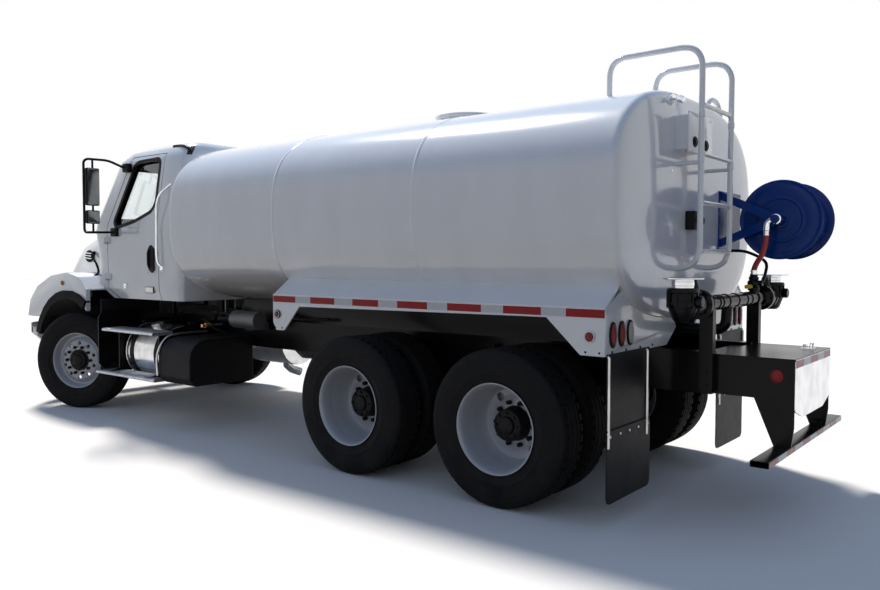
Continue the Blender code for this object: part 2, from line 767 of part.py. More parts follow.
door_outline = [(door_rear, 1.195), (4.18, 1.195), (door_front, 1.30), (door_front, 1.93), (4.05, 2.64),
                (door_rear + 0.02, 2.64)]
sill_y = 0.90
window_outline = [(4.20, 1.92), (4.245, 1.99), (3.985, 2.56), (3.92, 2.59), (3.56, 2.60), (3.52, 2.56),
                  (3.51, 2.16), (3.57, 2.07), (3.85, 1.98)]
windscreen_half = 0.86
windscreen_base = 2.02
windscreen_top = 2.56
rear_window_half = 0.42


def grow(outline, margin):
    # Pushes each point of an outline away from its middle by about the margin
    middle = [sum(p[k] for p in outline) / len(outline) for k in (0, 1)]
    return [tuple(p[k] + margin * math.copysign(1, p[k] - middle[k]) for k in (0, 1)) for p in outline]


def make_windscreen_cutter(name, margin):
    y = windscreen_half - margin
    outline = [(-y, windscreen_base + margin), (y, windscreen_base + margin),
               (y - 0.10, windscreen_top - margin),
               (-y + 0.10, windscreen_top - margin)]
    return make_plate(name, outline, "YZ", 4.05, 4.80, "glass")


def make_rear_window_cutter(name, margin):
    half = rear_window_half - margin
    outline = rounded_rectangle(-half, half, 2.02 + margin, 2.50 - margin, 0.05)
    return make_plate(name, outline, "YZ", 2.90, 3.30, "glass")


hinge_heights = (1.40, 1.78)
hinge_pin_radius = 0.007
cab_leaf = [(4.45, 0.985), (4.45, 1.032), (4.385, 1.059), (4.36, 1.057), (4.356, 1.040), (4.382, 1.028),
            (4.392, 0.985)]
door_leaf = [(4.31, 0.985), (4.355, 0.985), (4.368, 1.034), (4.366, 1.056), (4.31, 1.025)]


def make_cab():
    cab = cab_form("cab", 0.0)
    cut(cab, cab_form("cab_inside", cab_wall))
    opening = grow(door_outline, door_gap)
    above_sill = [(x, max(z, cab_floor + cab_wall + 0.01)) for x, z in opening]
    for sign in (1, -1):
        cut(cab, make_plate("door_opening", above_sill, "XZ", sign * 0.70, sign * 1.20, "white_paint"))
        cut(cab, make_plate("sill_opening", opening, "XZ", sign * (sill_y - door_gap), sign * 1.20,
                            "white_paint"))
    cut(cab, make_windscreen_cutter("windscreen_opening", 0.0))
    cut(cab, make_rear_window_cutter("rear_window_opening", 0.0))
    for sign in (1, -1):
        rail = [(3.20, sign * 1.00, 1.52), (3.20, sign * 1.055, 1.54), (3.20, sign * 1.055, 2.05),
                (3.22, sign * 1.02, 2.28), (3.22, sign * 0.93, 2.30)]
        unite(cab, make_tube("grab_rail", rail, 0.014, "white_paint"))
        for z in hinge_heights:
            unite(cab, make_plate("hinge_leaf", [(x, sign * y) for x, y in cab_leaf], "XY", z - 0.02, z,
                                  "white_paint"))
            unite(cab, make_rod("hinge_pin", (door_front, sign * hinge_y, z - 0.01),
                                (door_front, sign * hinge_y, z + 0.055), hinge_pin_radius, "bright_steel",
                                8))
    return cab


def make_glass():
    outer = (cab_wall - glass_thickness) / 2
    for name, cutter in (("windscreen", make_windscreen_cutter), ("rear_window", make_rear_window_cutter)):
        glass = cutter(name, seat)
        keep_inside(glass, cab_form("glass_outer", outer))
        cut(glass, cab_form("glass_inner", outer + glass_thickness))


def make_door_glass(side, sign):
    outer = (cab_wall - glass_thickness) / 2
    glass = make_plate(f"door_glass_{side}", grow(window_outline, -seat), "XZ", sign * 0.70, sign * 1.20,
                       "glass")
    keep_inside(glass, cab_form("glass_outer", outer))
    return cut(glass, cab_form("glass_inner", outer + glass_thickness))


def make_door(side, sign):
    door = make_plate(f"door_{side}", door_outline, "XZ", sign * 0.70, sign * 1.20, "white_paint")
    keep_inside(door, cab_form("door_outer", 0.0))
    cut(door, cab_form("door_inner", cab_wall))
    y0, y1 = sorted((sign * 0.60, sign * sill_y))
    cut(door, make_box("sill", (door_rear - 0.1, y0, 1.10), (door_front + 0.1, y1, 1.30), "white_paint"))
    cut(door, make_plate("door_window", window_outline, "XZ", sign * 0.65, sign * 1.25, "white_paint"))
    handle = [(3.50, 1.50), (3.54, 1.47), (3.58, 1.50), (3.58, 1.70), (3.54, 1.73), (3.50, 1.70)]
    unite(door, make_plate("handle", handle, "XZ", sign * 0.99, sign * 1.032, "black_plastic"))
    for z in hinge_heights:
        low, high = z + seat, z + 0.05
        unite(door, make_plate("door_leaf", [(x, sign * y) for x, y in door_leaf], "XY", low, high,
                               "white_paint"))
        unite(door, make_rod("hinge_barrel", (door_front, sign * hinge_y, low),
                             (door_front, sign * hinge_y, high),
                             0.014, "white_paint", 12))
        cut(door, make_rod("barrel_bore", (door_front, sign * hinge_y, low - 0.02),
                           (door_front, sign * hinge_y, high + 0.02), bore_radius(hinge_pin_radius, 8),
                           "white_paint", 8))
    return door


mirror_station = 4.28
mirror_outer_y = 1.31
mirror_foot = (4.20, 1.0255, 1.88)
mirror_top = (4.075, 0.955, 2.52)
mirror_heads = [
    # low z, high z
    (2.14, 2.53),
    (1.96, 2.10),
]


def make_mirror(side, sign):
    # A tube bent out from the door, up and back in, with two heads on a post inside the loop
    outer, x = mirror_outer_y, mirror_station
    path = [mirror_foot, (x - 0.04, outer - 0.20, 1.87), (x - 0.01, outer - 0.04, 1.88), (x, outer, 1.93),
            (x, outer, 2.57), (x - 0.01, outer - 0.04, 2.615), (x - 0.09, outer - 0.20, 2.60), mirror_top]
    mirror = make_tube(f"mirror_{side}", [(px, sign * py, pz) for px, py, pz in path], 0.012,
                       "black_plastic")
    for low, high in mirror_heads:
        y0, y1 = sorted_pair(sign, outer - 0.155, outer - 0.02)
        unite(mirror, make_box("mirror_head", (x - 0.035, y0, low), (x + 0.025, y1, high), "black_plastic"))
    post_y = sign * (outer - 0.09)
    unite(mirror, make_tube("mirror_post", [(x - 0.005, post_y, 1.88), (x - 0.005, post_y, 2.61)], 0.010,
                            "black_plastic"))
    return mirror


seat_floor = cab_floor + cab_wall + seat


def make_seats():
    seats = make_box("seats", (3.30, -0.78, seat_floor), (3.80, 0.78, seat_floor + 0.16), "seat_cloth")
    for middle in (0.50, -0.50):
        unite(seats, make_box("cushion", (3.28, middle - 0.26, seat_floor + 0.15),
                              (3.84, middle + 0.26, seat_floor + 0.33), "seat_cloth"))
        back = [(3.17, seat_floor + 0.95), (3.20, seat_floor + 0.25), (3.38, seat_floor + 0.25),
                (3.29, seat_floor + 0.95)]
        unite(seats, make_plate("backrest", back, "XZ", middle - 0.25, middle + 0.25, "seat_cloth"))
    return seats


column_top = Vector((3.86, 0.50, 1.84))
column_axis = Vector((-0.62, 0, 0.78)).normalized()
steering_wheel_radius = 0.22


def make_dash():
    outline = [(4.10, 1.45), (4.04, 1.62), (4.02, 1.88), (4.12, 1.97), (4.36, 1.97), (4.40, 1.80),
               (4.40, 1.45)]
    dash = make_plate("dash", outline, "XZ", -0.86, 0.86, "black_plastic")
    start = column_top - column_axis * 0.32
    unite(dash, make_rod("column", start, column_top - column_axis * 0.012, 0.035, "black_plastic"))
    unite(dash, make_box("dash_leg", (4.12, -0.80, cab_floor + cab_wall + seat), (4.22, 0.80, 1.50),
                         "black_plastic"))
    return dash


def make_steering_wheel():
    turn = Vector((0, 0, 1)).rotation_difference(column_axis).to_matrix().to_4x4()
    place = Matrix.Translation(column_top) @ turn
    radius, section = steering_wheel_radius, 0.015
    rim_profile = [(radius + section * math.cos(a), section * math.sin(a))
                   for a in (math.radians(72 * i) for i in range(4, -1, -1))]
    rim = make_turned("steering_wheel", rim_profile, "black_plastic", place, 16, closed=True)
    hub = make_rod("steering_hub", column_top - column_axis * 0.010, column_top + column_axis * 0.03, 0.06,
                   "black_plastic")
    unite(rim, hub)
    for angle in (0, 130, 230):
        a = math.radians(angle)
        tip = place @ Vector((radius * math.cos(a), radius * math.sin(a), 0))
        unite(rim, make_rod("spoke", column_top, tip, 0.012, "black_plastic", 6))
    return rim


# Hood

# Station, half width, top z, bottom z, corner radius
hood_sections = [
    (hood_rear, 0.88, 1.91, 1.02, 0.16),
    (5.10, 0.80, 1.86, 1.00, 0.16),
    (5.52, 0.72, 1.78, 0.98, 0.18),
    (5.74, 0.69, 1.66, 0.97, 0.20),
    (5.87, 0.66, 1.50, 0.96, 0.20),
    (5.93, 0.60, 1.30, 0.98, 0.12),
]
grille_half = 0.42
grille_low = 1.02
grille_high = 1.36
grille_x = 5.885
grille_slots = 5
flare_y = 1.195
flare_width = 0.085
fender_profile = [(4.54, 0.95), (4.54, 1.29), (4.68, 1.41), (4.95, 1.46), (5.30, 1.42), (5.62, 1.30),
                  (5.80, 1.14), (5.86, 0.96)]


def flare_outline():
    # The arch's lip, from ahead of the tyre over its top to the fender's rear edge
    arc = round_corner((wheelbase, axle_z), arch_radius + flare_width, 22, 121, 8)
    return arc + round_corner((wheelbase, axle_z), arch_radius - 0.004, 121, 22, 8)


def hood_form(name, inset, lower):
    rings = []
    for station, half, top, bottom, corner in hood_sections:
        x = station
        if station == hood_rear:
            x = station - (0.2 if inset else 0)
        elif inset:
            x = station - inset
        outline = rounded_rectangle(-half + inset, half - inset, bottom - lower, top - inset,
                                    max(corner - inset, 0.02), 2)
        rings.append([(x, y, z) for y, z in outline])
    return make_loft(name, rings, "white_paint")


def make_hood():
    hood = hood_form("hood", 0.0, 0.0)
    for sign in (1, -1):
        unite(hood, make_plate("fender", fender_profile, "XZ", sign * 0.50, sign * 1.17, "white_paint"))
    cut(hood, hood_form("engine_bay", hood_skin, 0.2))
    inner = [(4.40, 0.80), (4.40, 1.20), (4.68, 1.355), (4.95, 1.415), (5.30, 1.375), (5.60, 1.265),
             (5.765, 1.12), (5.82, 0.96), (5.82, 0.80)]
    for sign in (1, -1):
        cut(hood, make_plate("fender_inside", inner, "XZ", sign * 0.40, sign * (1.17 - hood_skin),
                             "white_paint"))
        cut(hood, make_rod("arch", (wheelbase, sign * 0.9, axle_z), (wheelbase, sign * 1.4, axle_z),
                           arch_radius,
                           "white_paint", 24))
        unite(hood, make_plate("flare", flare_outline(), "XZ", sign * 1.13, sign * flare_y, "white_paint"))
        y0, y1 = sorted_pair(sign, 0.652, 0.96)
        unite(hood, make_box("headlamp", (5.70, y0, 1.00), (5.885, y1, 1.17), "white_paint"))
    grille = [(-grille_half, grille_low), (grille_half, grille_low), (grille_half, grille_high),
              (-grille_half, grille_high)]
    cut(hood, make_plate("grille_opening", grille, "YZ", 5.70, 6.10, "white_paint"))
    for sign in (1, -1):
        unite(hood, make_plate("hood_lug", hood_lug, "XZ", sign * lug_y[0], sign * lug_y[1], "black_paint"))
        cut(hood, make_rod("lug_bore", (hood_pivot_x, sign * (lug_y[0] - 0.05), hood_pivot_z),
                           (hood_pivot_x, sign * (lug_y[1] + 0.05), hood_pivot_z),
                           bore_radius(hood_pin_radius, 12), "black_paint", 12))
    return hood


def make_grille():
    # A surround with bars between its slots
    half, low, high = grille_half - seat, grille_low + seat, grille_high - seat
    grille = make_box("grille", (grille_x - 0.045, -half, low), (grille_x, half, high), "bright_steel")
    pitch = (high - low - 0.02) / grille_slots
    for i in range(grille_slots):
        slot_low = low + 0.02 + i * pitch
        cut(grille, make_box("grille_slot", (grille_x - 0.10, -half + 0.04, slot_low),
                             (grille_x + 0.05, half - 0.04, slot_low + pitch * 0.6), "bright_steel"))
    return grille


# Side equipment

def make_fuel_tank():
    y, z = 0.74, 0.66
    tank = make_rod("fuel_tank", (3.385, y, z), (4.06, y, z), fuel_tank_radius, "bright_steel", 18)
    for x in (3.50, 3.93):
        unite(tank, make_rod("strap", (x - 0.03, y, z), (x + 0.03, y, z), fuel_tank_radius + 0.008,
                             "bright_steel", 18))
        unite(tank, make_box("tank_bracket", (x - 0.03, frame_half + seat, z + 0.05),
                             (x + 0.03, y - 0.1, z + 0.30),
                             "black_paint"))
    return tank


step_table = [
    # rear station, front station, top z
    (3.26, 4.17, 0.905),
    (3.24, 4.30, 0.465),
]
step_thickness = 0.03


def make_steps(side, sign):
    y0, y1 = sorted_pair(sign, step_y_inner, step_y_outer)
    steps = None
    for rear, front, top in step_table:
        name = f"steps_{side}" if steps is None else "lower_step"
        tread = make_box(name, (rear, y0, top - step_thickness), (front, y1, top), "tread_plate")
        steps = tread if steps is None else unite(steps, tread)
    hanger = [(frame_half + seat, rail_top - 0.04), (frame_half + seat, rail_bottom + 0.03), (0.80, 0.47),
              (step_y_outer - 0.01, 0.44), (step_y_outer - 0.01, 0.47), (1.07, 0.50), (1.07, 0.86),
              (step_y_outer - 0.01, 0.88), (step_y_outer - 0.01, 0.90), (step_y_inner, 0.90),
              (0.60, rail_top - 0.04)]
    hanger = [(sign * y, z) for y, z in hanger]
    for near, far in ((3.357, 3.369), (4.075, 4.090)):
        unite(steps, make_plate("hanger", hanger, "YZ", near, far, "black_paint"))
    return steps


def make_battery_box():
    outline = [(frame_half + seat, 0.43), (1.08, 0.43), (1.15, 0.50)] \
        + round_corner((0.97, 0.68), 0.18, 0, 90, 4) + [(frame_half + seat, 0.86)]
    return make_plate("battery_box", outline, "YZ", 2.74, 3.235, "black_plastic")


def make_silencer():
    silencer = make_rod("silencer", (3.385, -0.74, 0.66), (4.06, -0.74, 0.66), 0.26, "tread_plate", 18)
    for x in (3.50, 3.93):
        unite(silencer, make_box("silencer_bracket", (x - 0.03, -0.64, 0.71),
                                 (x + 0.03, -frame_half - seat, 0.96),
                                 "black_paint"))
    pipe = [(3.60, -0.74, 0.50), (3.60, -0.74, 0.38), (3.57, -0.78, 0.33), (3.53, -0.88, 0.29)]
    unite(silencer, make_tube("tailpipe", pipe, 0.05, "tread_plate", 2))
    return silencer


# Side fenders along the tank

rail_low = 1.253
rail_high = 1.319
skirt_bottom = 1.038
shelf_inner_z = 1.45
lamp_z = 1.16
lamp_half = (0.040, 0.078)
lamp_depth = 0.012
lamp_stations_y = (1.130, 1.015, 0.900)
marker_radius = 0.035
marker_places = [
    # station, z
    (tank_rear + 0.10, 1.150),
    (1.43, 1.165),
]


def make_side_fender(side, sign):
    near, far = fender_y - fender_sheet, fender_y
    rear_x = tank_rear + 0.004
    edge = rear_x + 0.002
    skirt = [(edge, rail_high), (edge, skirt_bottom), (-1.276, skirt_bottom), (-1.043, rail_low),
             (1.178, rail_low - 0.02), (1.357, skirt_bottom), (1.45, skirt_bottom), (1.487, 1.10),
             (1.487, rail_high)]
    fender = make_plate(f"side_fender_{side}", skirt, "XZ", sign * near, sign * far, "white_paint")
    inner_y = tank_side(shelf_inner_z) + seat * 3
    shelf = [(fender_y - 0.001, rail_high - 0.006), (fender_y - 0.001, rail_high + 0.001),
             (inner_y, shelf_inner_z),
             (inner_y, shelf_inner_z - 0.015), (fender_y - 0.02, rail_high - 0.015)]
    unite(fender, make_plate("shelf", [(sign * y, z) for y, z in shelf], "YZ", rear_x + 0.001, 1.486,
                             "white_paint"))
    # The rear panel's upper edge runs just under the barrel
    spread = 1.0008
    curve = [(y * spread, tank_middle_z + (z - tank_middle_z) * spread) for x, y, z in tank_ring(0)
             if 0.17 < y and z < shelf_inner_z - 0.01]
    curve.sort(key=lambda point: point[1])
    panel = [(fender_y - 0.006, rail_high - 0.01), (fender_y - 0.006, skirt_bottom), (0.33, skirt_bottom),
             (0.17, 1.15)]
    panel = [(sign * y, z) for y, z in panel + curve]
    unite(fender, make_plate("rear_panel", panel, "YZ", rear_x, rear_x + fender_sheet, "white_paint"))
    for y in lamp_stations_y:
        unite(fender, make_oval("rear_lamp", (rear_x, sign * y, lamp_z), lamp_half, lamp_depth))
    for station, z in marker_places:
        unite(fender, make_rod("marker", (station, sign * (near + 0.002), z),
                               (station, sign * (far + lamp_depth), z),
                               marker_radius, "white_paint"))
    return fender


def make_oval(name, middle, half, depth):
    # A lamp's oval bezel, proud of the rear panel
    x, y, z = middle
    outline = [(y + half[0] * math.cos(a), z + half[1] * math.sin(a))
               for a in (math.radians(30 * i) for i in range(12))]
    return make_plate(name, outline, "YZ", x - depth, x + 0.006, "white_paint")


def make_mudflap(side, sign):
    face = tank_rear + 0.004 - seat
    y0, y1 = sorted_pair(sign, 0.605, 1.204)
    flap = make_box(f"mudflap_{side}", (face - 0.010, y0, 0.166), (face, y1, skirt_bottom + 0.012),
                    "flap_rubber")
    for y in (0.66, 1.19):
        unite(flap, make_rod("hanger_rod", (face - 0.012, sign * y, 0.50),
                             (face - 0.012, sign * y, skirt_bottom), 0.009,
                             "bright_steel", 8))
    return flap


# Rear equipment

foot_z = 1.545
standoff_z = 2.22
rung_low = 1.655
rung_pitch = 0.31
rung_count = 4
stile_table = [
    # y, station of the rail's front post
    (ladder_left_y, -1.03),
    (ladder_right_y, -1.12),
]


def make_ladder():
    # Each stile runs up, over the tank's edge as a handrail and down to the tank's top
    top = tank_top + ladder_rise
    ladder = None
    for y, base in stile_table:
        foot_x = head_station(foot_z) - seat * 4
        path = [(base, y, tank_height(y, True) + 0.0022), (base, y, top - 0.09),
                (base - 0.025, y, top - 0.03),
                (base - 0.085, y, top), (ladder_x + 0.12, y, top + 0.003), (ladder_x + 0.045, y, top - 0.02),
                (ladder_x, y, top - 0.09), (ladder_x, y, foot_z + 0.12),
                (ladder_x + 0.03, y, foot_z + 0.035),
                (ladder_x + 0.10, y, foot_z), (foot_x, y, foot_z)]
        stile = make_tube("stile" if ladder else "ladder", path, stile_radius, "white_paint")
        ladder = unite(ladder, stile) if ladder else stile
        unite(ladder, make_rod("standoff", (ladder_x, y, standoff_z),
                               (head_station(standoff_z) - seat * 4, y, standoff_z), 0.013, "white_paint",
                               8))
    for i in range(rung_count):
        z = rung_low + i * rung_pitch
        unite(ladder, make_rod("rung", (ladder_x, ladder_right_y, z), (ladder_x, ladder_left_y, z), 0.015,
                               "white_paint", 8))
    return ladder


box_low = 2.30
box_high = 2.60


def make_control_box():
    # Its back follows the dished head
    heights = [box_low] + [tank_top - shrink for share, shrink in reversed(head_rings[1:-1])
                           if box_low < tank_top - shrink < box_high] + [box_high]
    back = [(head_station(z) - seat, z) for z in heights]
    outline = [(-1.60, box_high), (-1.60, box_low)] + back
    return make_plate("control_box", outline, "XZ", ladder_right_y + 0.20, ladder_left_y - 0.02,
                      "white_paint")


rear_box_half = frame_half - 0.006
rear_box_sheet = 0.010
step_bar_half = 0.869


def make_rear_box():
    # Side plates under a wider top plate, closed by the polished rear plate
    front = rail_rear - seat
    inner = rear_box_half - rear_box_sheet
    rear = box_rear + rear_box_sheet / 2
    under_top = box_top - rear_box_sheet / 2
    side = [(front, under_top), (front, 0.763), (-2.033, 0.762), (-2.156, 0.47), (-2.25, 0.47), (rear, 0.60),
            (rear, under_top)]
    box = make_plate("rear_box", side, "XZ", inner, rear_box_half, "black_paint")
    unite(box, make_plate("right_side", side, "XZ", -rear_box_half, -inner, "black_paint"))
    unite(box, make_box("top_plate", (box_rear + 0.003, -rear_box_half - 0.003, box_top - rear_box_sheet),
                        (front - 0.001, rear_box_half + 0.003, box_top), "black_paint"))
    half = rear_box_half - 0.004
    plate = [(-half, 1.006), (-half, 0.70), (-half + 0.18, 0.645), (half - 0.18, 0.645), (half, 0.70),
             (half, 1.006)]
    unite(box, make_plate("rear_plate", plate, "YZ", box_rear, box_rear + 0.012, "bright_steel"))
    unite(box, make_box("step_bar", (-2.255, -step_bar_half, 0.447), (-2.152, step_bar_half, 0.485),
                        "black_paint"))
    return box


post_bottom = 0.775
feed_y = -0.39
feed_foot_y = -0.41
feed_top_x = reel_x + 0.06
feed_top = 1.80
valve_top = 1.50


spray_profile = [
    # radius, height over the manifold's pipe: disc, neck, cast body
    (0, 0.165), (0.118, 0.165), (0.118, 0.158), (0.062, 0.154), (0.062, 0.105), (0.085, 0.095),
    (0.088, -0.006),
    (0.055, -0.085), (0, -0.09)]


def make_manifold():
    x = post_x
    pipe = make_rod("manifold", (x, -spray_head_y, manifold_z), (x, spray_head_y, manifold_z),
                    manifold_radius,
                    "black_paint")
    for sign in (1, -1):
        y0, y1 = sorted_pair(sign, frame_half + seat, frame_half + post_thickness)
        unite(pipe, make_box("post", (x - post_size / 2, y0, post_bottom),
                             (x + post_size / 2, y1, manifold_z + 0.012),
                             "black_paint"))
        y = sign * spray_head_y
        unite(pipe, make_turned("spray_head", spray_profile, "black_paint",
                                Matrix.Translation((x, y, manifold_z)),
                                12))
        for far, near, radius in ((0.03, 0.27, 0.072), (0.235, 0.262, 0.092)):
            unite(pipe, make_rod("valve_body", (x, sign * (spray_head_y - far), manifold_z),
                                 (x, sign * (spray_head_y - near), manifold_z), radius, "black_paint", 10))
    low = manifold_z - 0.19
    elbow = [(x, 0.10, manifold_z), (x + 0.02, 0.10, low + 0.05), (x + 0.07, 0.10, low),
             (tank_rear, 0.10, low), (tank_rear + 0.055, 0.10, low + 0.035),
             (tank_rear + 0.055, 0.10, tank_height(0.10, False) - 0.001)]
    unite(pipe, make_tube("elbow", elbow, 0.035, "black_paint", 1))
    unite(pipe, make_rod("valve", (x - 0.01, feed_foot_y, manifold_z + 0.01),
                         (x - 0.01, feed_foot_y, valve_top - seat), 0.026, "black_paint", 10))
    return pipe


def make_reel_frame():
    face = tank_rear - head_dish * 0.93 - seat
    near = reel_near_y + 0.035
    plate = make_box("reel_frame", (face - 0.012, -0.86, 1.68), (face, -0.40, 2.10), "reel_paint")
    foot = face - 0.005
    arms = [(foot, 2.10), (reel_x, reel_z + 0.035), (reel_x - 0.035, reel_z), (reel_x, reel_z - 0.035),
            (foot, 1.69), (foot, 1.75), (reel_x + 0.08, reel_z), (foot, 2.04)]
    unite(plate, make_plate("arms", arms, "XZ", near, near + 0.04, "reel_paint"))
    axle = make_rod("axle", (reel_x, near + 0.10, reel_z), (reel_x, reel_far_y + 0.08, reel_z),
                    reel_axle_radius, "reel_paint", wheel_sides)
    unite(plate, axle)
    elbow = [(reel_x, feed_y, reel_z), (feed_top_x - 0.012, feed_y, feed_top + 0.055),
             (feed_top_x, feed_y, feed_top + 0.03), (feed_top_x, feed_y, feed_top + seat)]
    unite(plate, make_tube("swivel", elbow, 0.022, "bright_steel"))
    return plate


def make_reel():
    bore = bore_radius(reel_axle_radius, wheel_sides)
    depth = reel_near_y - reel_far_y
    ring_in, ring_out = reel_radius * 0.50, reel_radius * 0.80
    profile = [(bore, depth - 0.006), (ring_in, depth - 0.006), (ring_in + 0.012, depth),
               (ring_out, depth), (ring_out + 0.012, depth - 0.006), (reel_radius, depth - 0.004),
               (reel_radius, depth - 0.016), (reel_radius * 0.84, depth - 0.020),
               (reel_radius * 0.84, 0.020),
               (reel_radius, 0.016), (reel_radius, 0.002), (bore, 0)]
    return make_turned("hose_reel", profile, "reel_paint", about_y(reel_x, reel_far_y, reel_z), closed=True)


feed_route = [(feed_top_x, feed_y, feed_top), (feed_top_x, feed_y, feed_top - 0.03), (-1.845, -0.392, 1.72),
              (-1.822, -0.398, 1.64), (-1.785, -0.405, 1.58), (post_x - 0.01, feed_foot_y, valve_top + 0.03),
              (post_x - 0.01, feed_foot_y, valve_top)]


def smooth_route(points, spacing):
    # A Catmull-Rom curve through the route's points, read at about the spacing
    path = []
    ends = [points[0]] + list(points) + [points[-1]]
    for a, b, c, d in zip(ends, ends[1:], ends[2:], ends[3:]):
        a, b, c, d = Vector(a), Vector(b), Vector(c), Vector(d)
        count = max(1, round((c - b).length / spacing))
        for i in range(count):
            t = i / count
            path.append(0.5 * (2 * b + (c - a) * t + (2 * a - 5 * b + 4 * c - d) * t * t
                               + (3 * b - a - 3 * c + d) * t ** 3))
    path.append(Vector(points[-1]))
    return path


def make_feed_hose():
    return make_tube("feed_hose", smooth_route(feed_route, 0.05), hose_radius, "hose_rubber")


def make_water_pump():
    y, z = frame_half + 0.19, rail_top + 0.01
    pump = make_rod("water_pump", (2.40, y, z), (2.76, y, z), 0.085, "grey_iron")
    unite(pump, make_box("pump_bracket", (2.50, frame_half + seat, z - 0.10), (2.62, y, z - 0.03),
                         "grey_iron"))
    return pump


clear_scene()
parts = make_collection("tanker_truck")
cutters = make_collection("cutters")
truck = bpy.data.objects.new("truck_middle", None)
parts.objects.link(truck)

make_frame()
make_bumper()
make_engine()
make_front_axle()
for axle_name, axle_station in axle_stations.items():
    make_drive_axle(f"drive_axle_{axle_name}", axle_station)
make_tandem_suspension()
make_driveshaft()
make_wheels()
for side_name, side_sign in (("left", 1), ("right", -1)):
    make_knuckle(side_name, side_sign)
    hang(f"door_{side_name}_hinge", (door_front, side_sign * hinge_y, cab_floor),
         make_door(side_name, side_sign), make_door_glass(side_name, side_sign),
         make_mirror(side_name, side_sign))
    make_steps(side_name, side_sign)
    make_side_fender(side_name, side_sign)
    make_mudflap(side_name, side_sign)
make_tie_rod()
make_cab()
make_glass()
make_seats()
make_dash()
make_steering_wheel()
hang("hood_pivot", (hood_pivot_x, 0, hood_pivot_z), make_hood(), make_grille())
make_fuel_tank()
make_battery_box()
make_silencer()
make_tank()
make_manhole_lid()
make_ladder()
make_control_box()
make_rear_box()
make_manifold()
make_reel_frame()
make_reel()
make_feed_hose()
make_water_pump()

truck.location.x = -(front_reach - rear_reach) / 2
bpy.context.view_layer.update()
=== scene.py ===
import json
import math

import bmesh
import bpy
from mathutils import Matrix, Vector
from mathutils.bvhtree import BVHTree

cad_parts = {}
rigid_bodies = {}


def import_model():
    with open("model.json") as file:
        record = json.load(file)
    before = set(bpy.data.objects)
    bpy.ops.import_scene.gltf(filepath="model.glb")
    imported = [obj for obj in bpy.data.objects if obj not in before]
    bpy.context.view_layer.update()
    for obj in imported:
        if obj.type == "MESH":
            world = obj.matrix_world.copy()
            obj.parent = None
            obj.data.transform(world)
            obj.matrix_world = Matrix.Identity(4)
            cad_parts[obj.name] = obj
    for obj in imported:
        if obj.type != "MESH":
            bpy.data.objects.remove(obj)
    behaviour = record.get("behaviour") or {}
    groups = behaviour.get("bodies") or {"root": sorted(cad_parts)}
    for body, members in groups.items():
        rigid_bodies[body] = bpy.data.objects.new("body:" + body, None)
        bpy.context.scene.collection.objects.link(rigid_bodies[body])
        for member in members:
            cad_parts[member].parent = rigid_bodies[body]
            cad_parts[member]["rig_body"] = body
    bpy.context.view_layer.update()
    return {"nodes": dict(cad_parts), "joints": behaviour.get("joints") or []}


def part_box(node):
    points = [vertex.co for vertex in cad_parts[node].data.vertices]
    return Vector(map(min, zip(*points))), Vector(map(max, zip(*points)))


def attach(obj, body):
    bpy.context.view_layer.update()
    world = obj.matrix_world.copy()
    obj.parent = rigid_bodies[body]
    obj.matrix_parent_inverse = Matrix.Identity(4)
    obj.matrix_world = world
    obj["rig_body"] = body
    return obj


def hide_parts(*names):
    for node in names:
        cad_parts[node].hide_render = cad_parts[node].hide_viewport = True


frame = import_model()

nodes = frame["nodes"]


def stage(words):
    print("stage:", words)


def middleOf(node):
    low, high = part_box(node)
    return (low + high) / 2


# Places taken from the frame: stations run forward from the middle of the tandem axles
frontDual = middleOf("tyre_front_left_outer")
rearDual = middleOf("tyre_rear_left_outer")
tandemX = (frontDual.x + rearDual.x) / 2
axleZ = frontDual.z
kingpin = Vector(next(j for j in frame["joints"] if j["name"] == "steer_left")["pos_m"])
rollAxis = Vector(next(j for j in frame["joints"] if j["name"] == "roll_steer_left")["axis"])
sides = (("left", 1), ("right", -1))


def at(station, y, z):
    return Vector((tandemX + station, y, z))


# Helpers for modelling

def placeTurn(axis):
    return Vector(axis).to_track_quat("Z", "Y").to_matrix().to_4x4()


def placeAt(spot, axis):
    # A frame at the spot whose local Z axis runs along the axis
    return Matrix.Translation(spot) @ placeTurn(axis)


def addBlock(bm, low, high):
    low, high = Vector(low), Vector(high)
    size = [abs(high[k] - low[k]) for k in range(3)]
    matrix = Matrix.Translation((low + high) / 2) @ Matrix.Diagonal((*size, 1))
    return bmesh.ops.create_cube(bm, size=1.0, matrix=matrix)["verts"]


def addDrum(bm, start, end, radius, endRadius=None, segments=32):
    start, end = Vector(start), Vector(end)
    return bmesh.ops.create_cone(bm, cap_ends=True, segments=segments, radius1=radius,
                                 radius2=radius if endRadius is None else endRadius,
                                 depth=(end - start).length,
                                 matrix=placeAt((start + end) / 2, end - start))["verts"]


def addBall(bm, place, radius, scale=(1, 1, 1), segments=16):
    matrix = Matrix.Translation(place) @ Matrix.Diagonal((*scale, 1))
    return bmesh.ops.create_uvsphere(bm, u_segments=segments, v_segments=segments // 2, radius=radius,
                                     matrix=matrix)["verts"]


def addSlab(bm, points, push):
    # A flat face from a few corners, pushed into a solid
    base = [bm.verts.new(p) for p in points]
    made = bmesh.ops.extrude_face_region(bm, geom=[bm.faces.new(base)])["geom"]
    corners = [v for v in made if isinstance(v, bmesh.types.BMVert)]
    bmesh.ops.translate(bm, vec=Vector(push), verts=corners)
    return base + corners


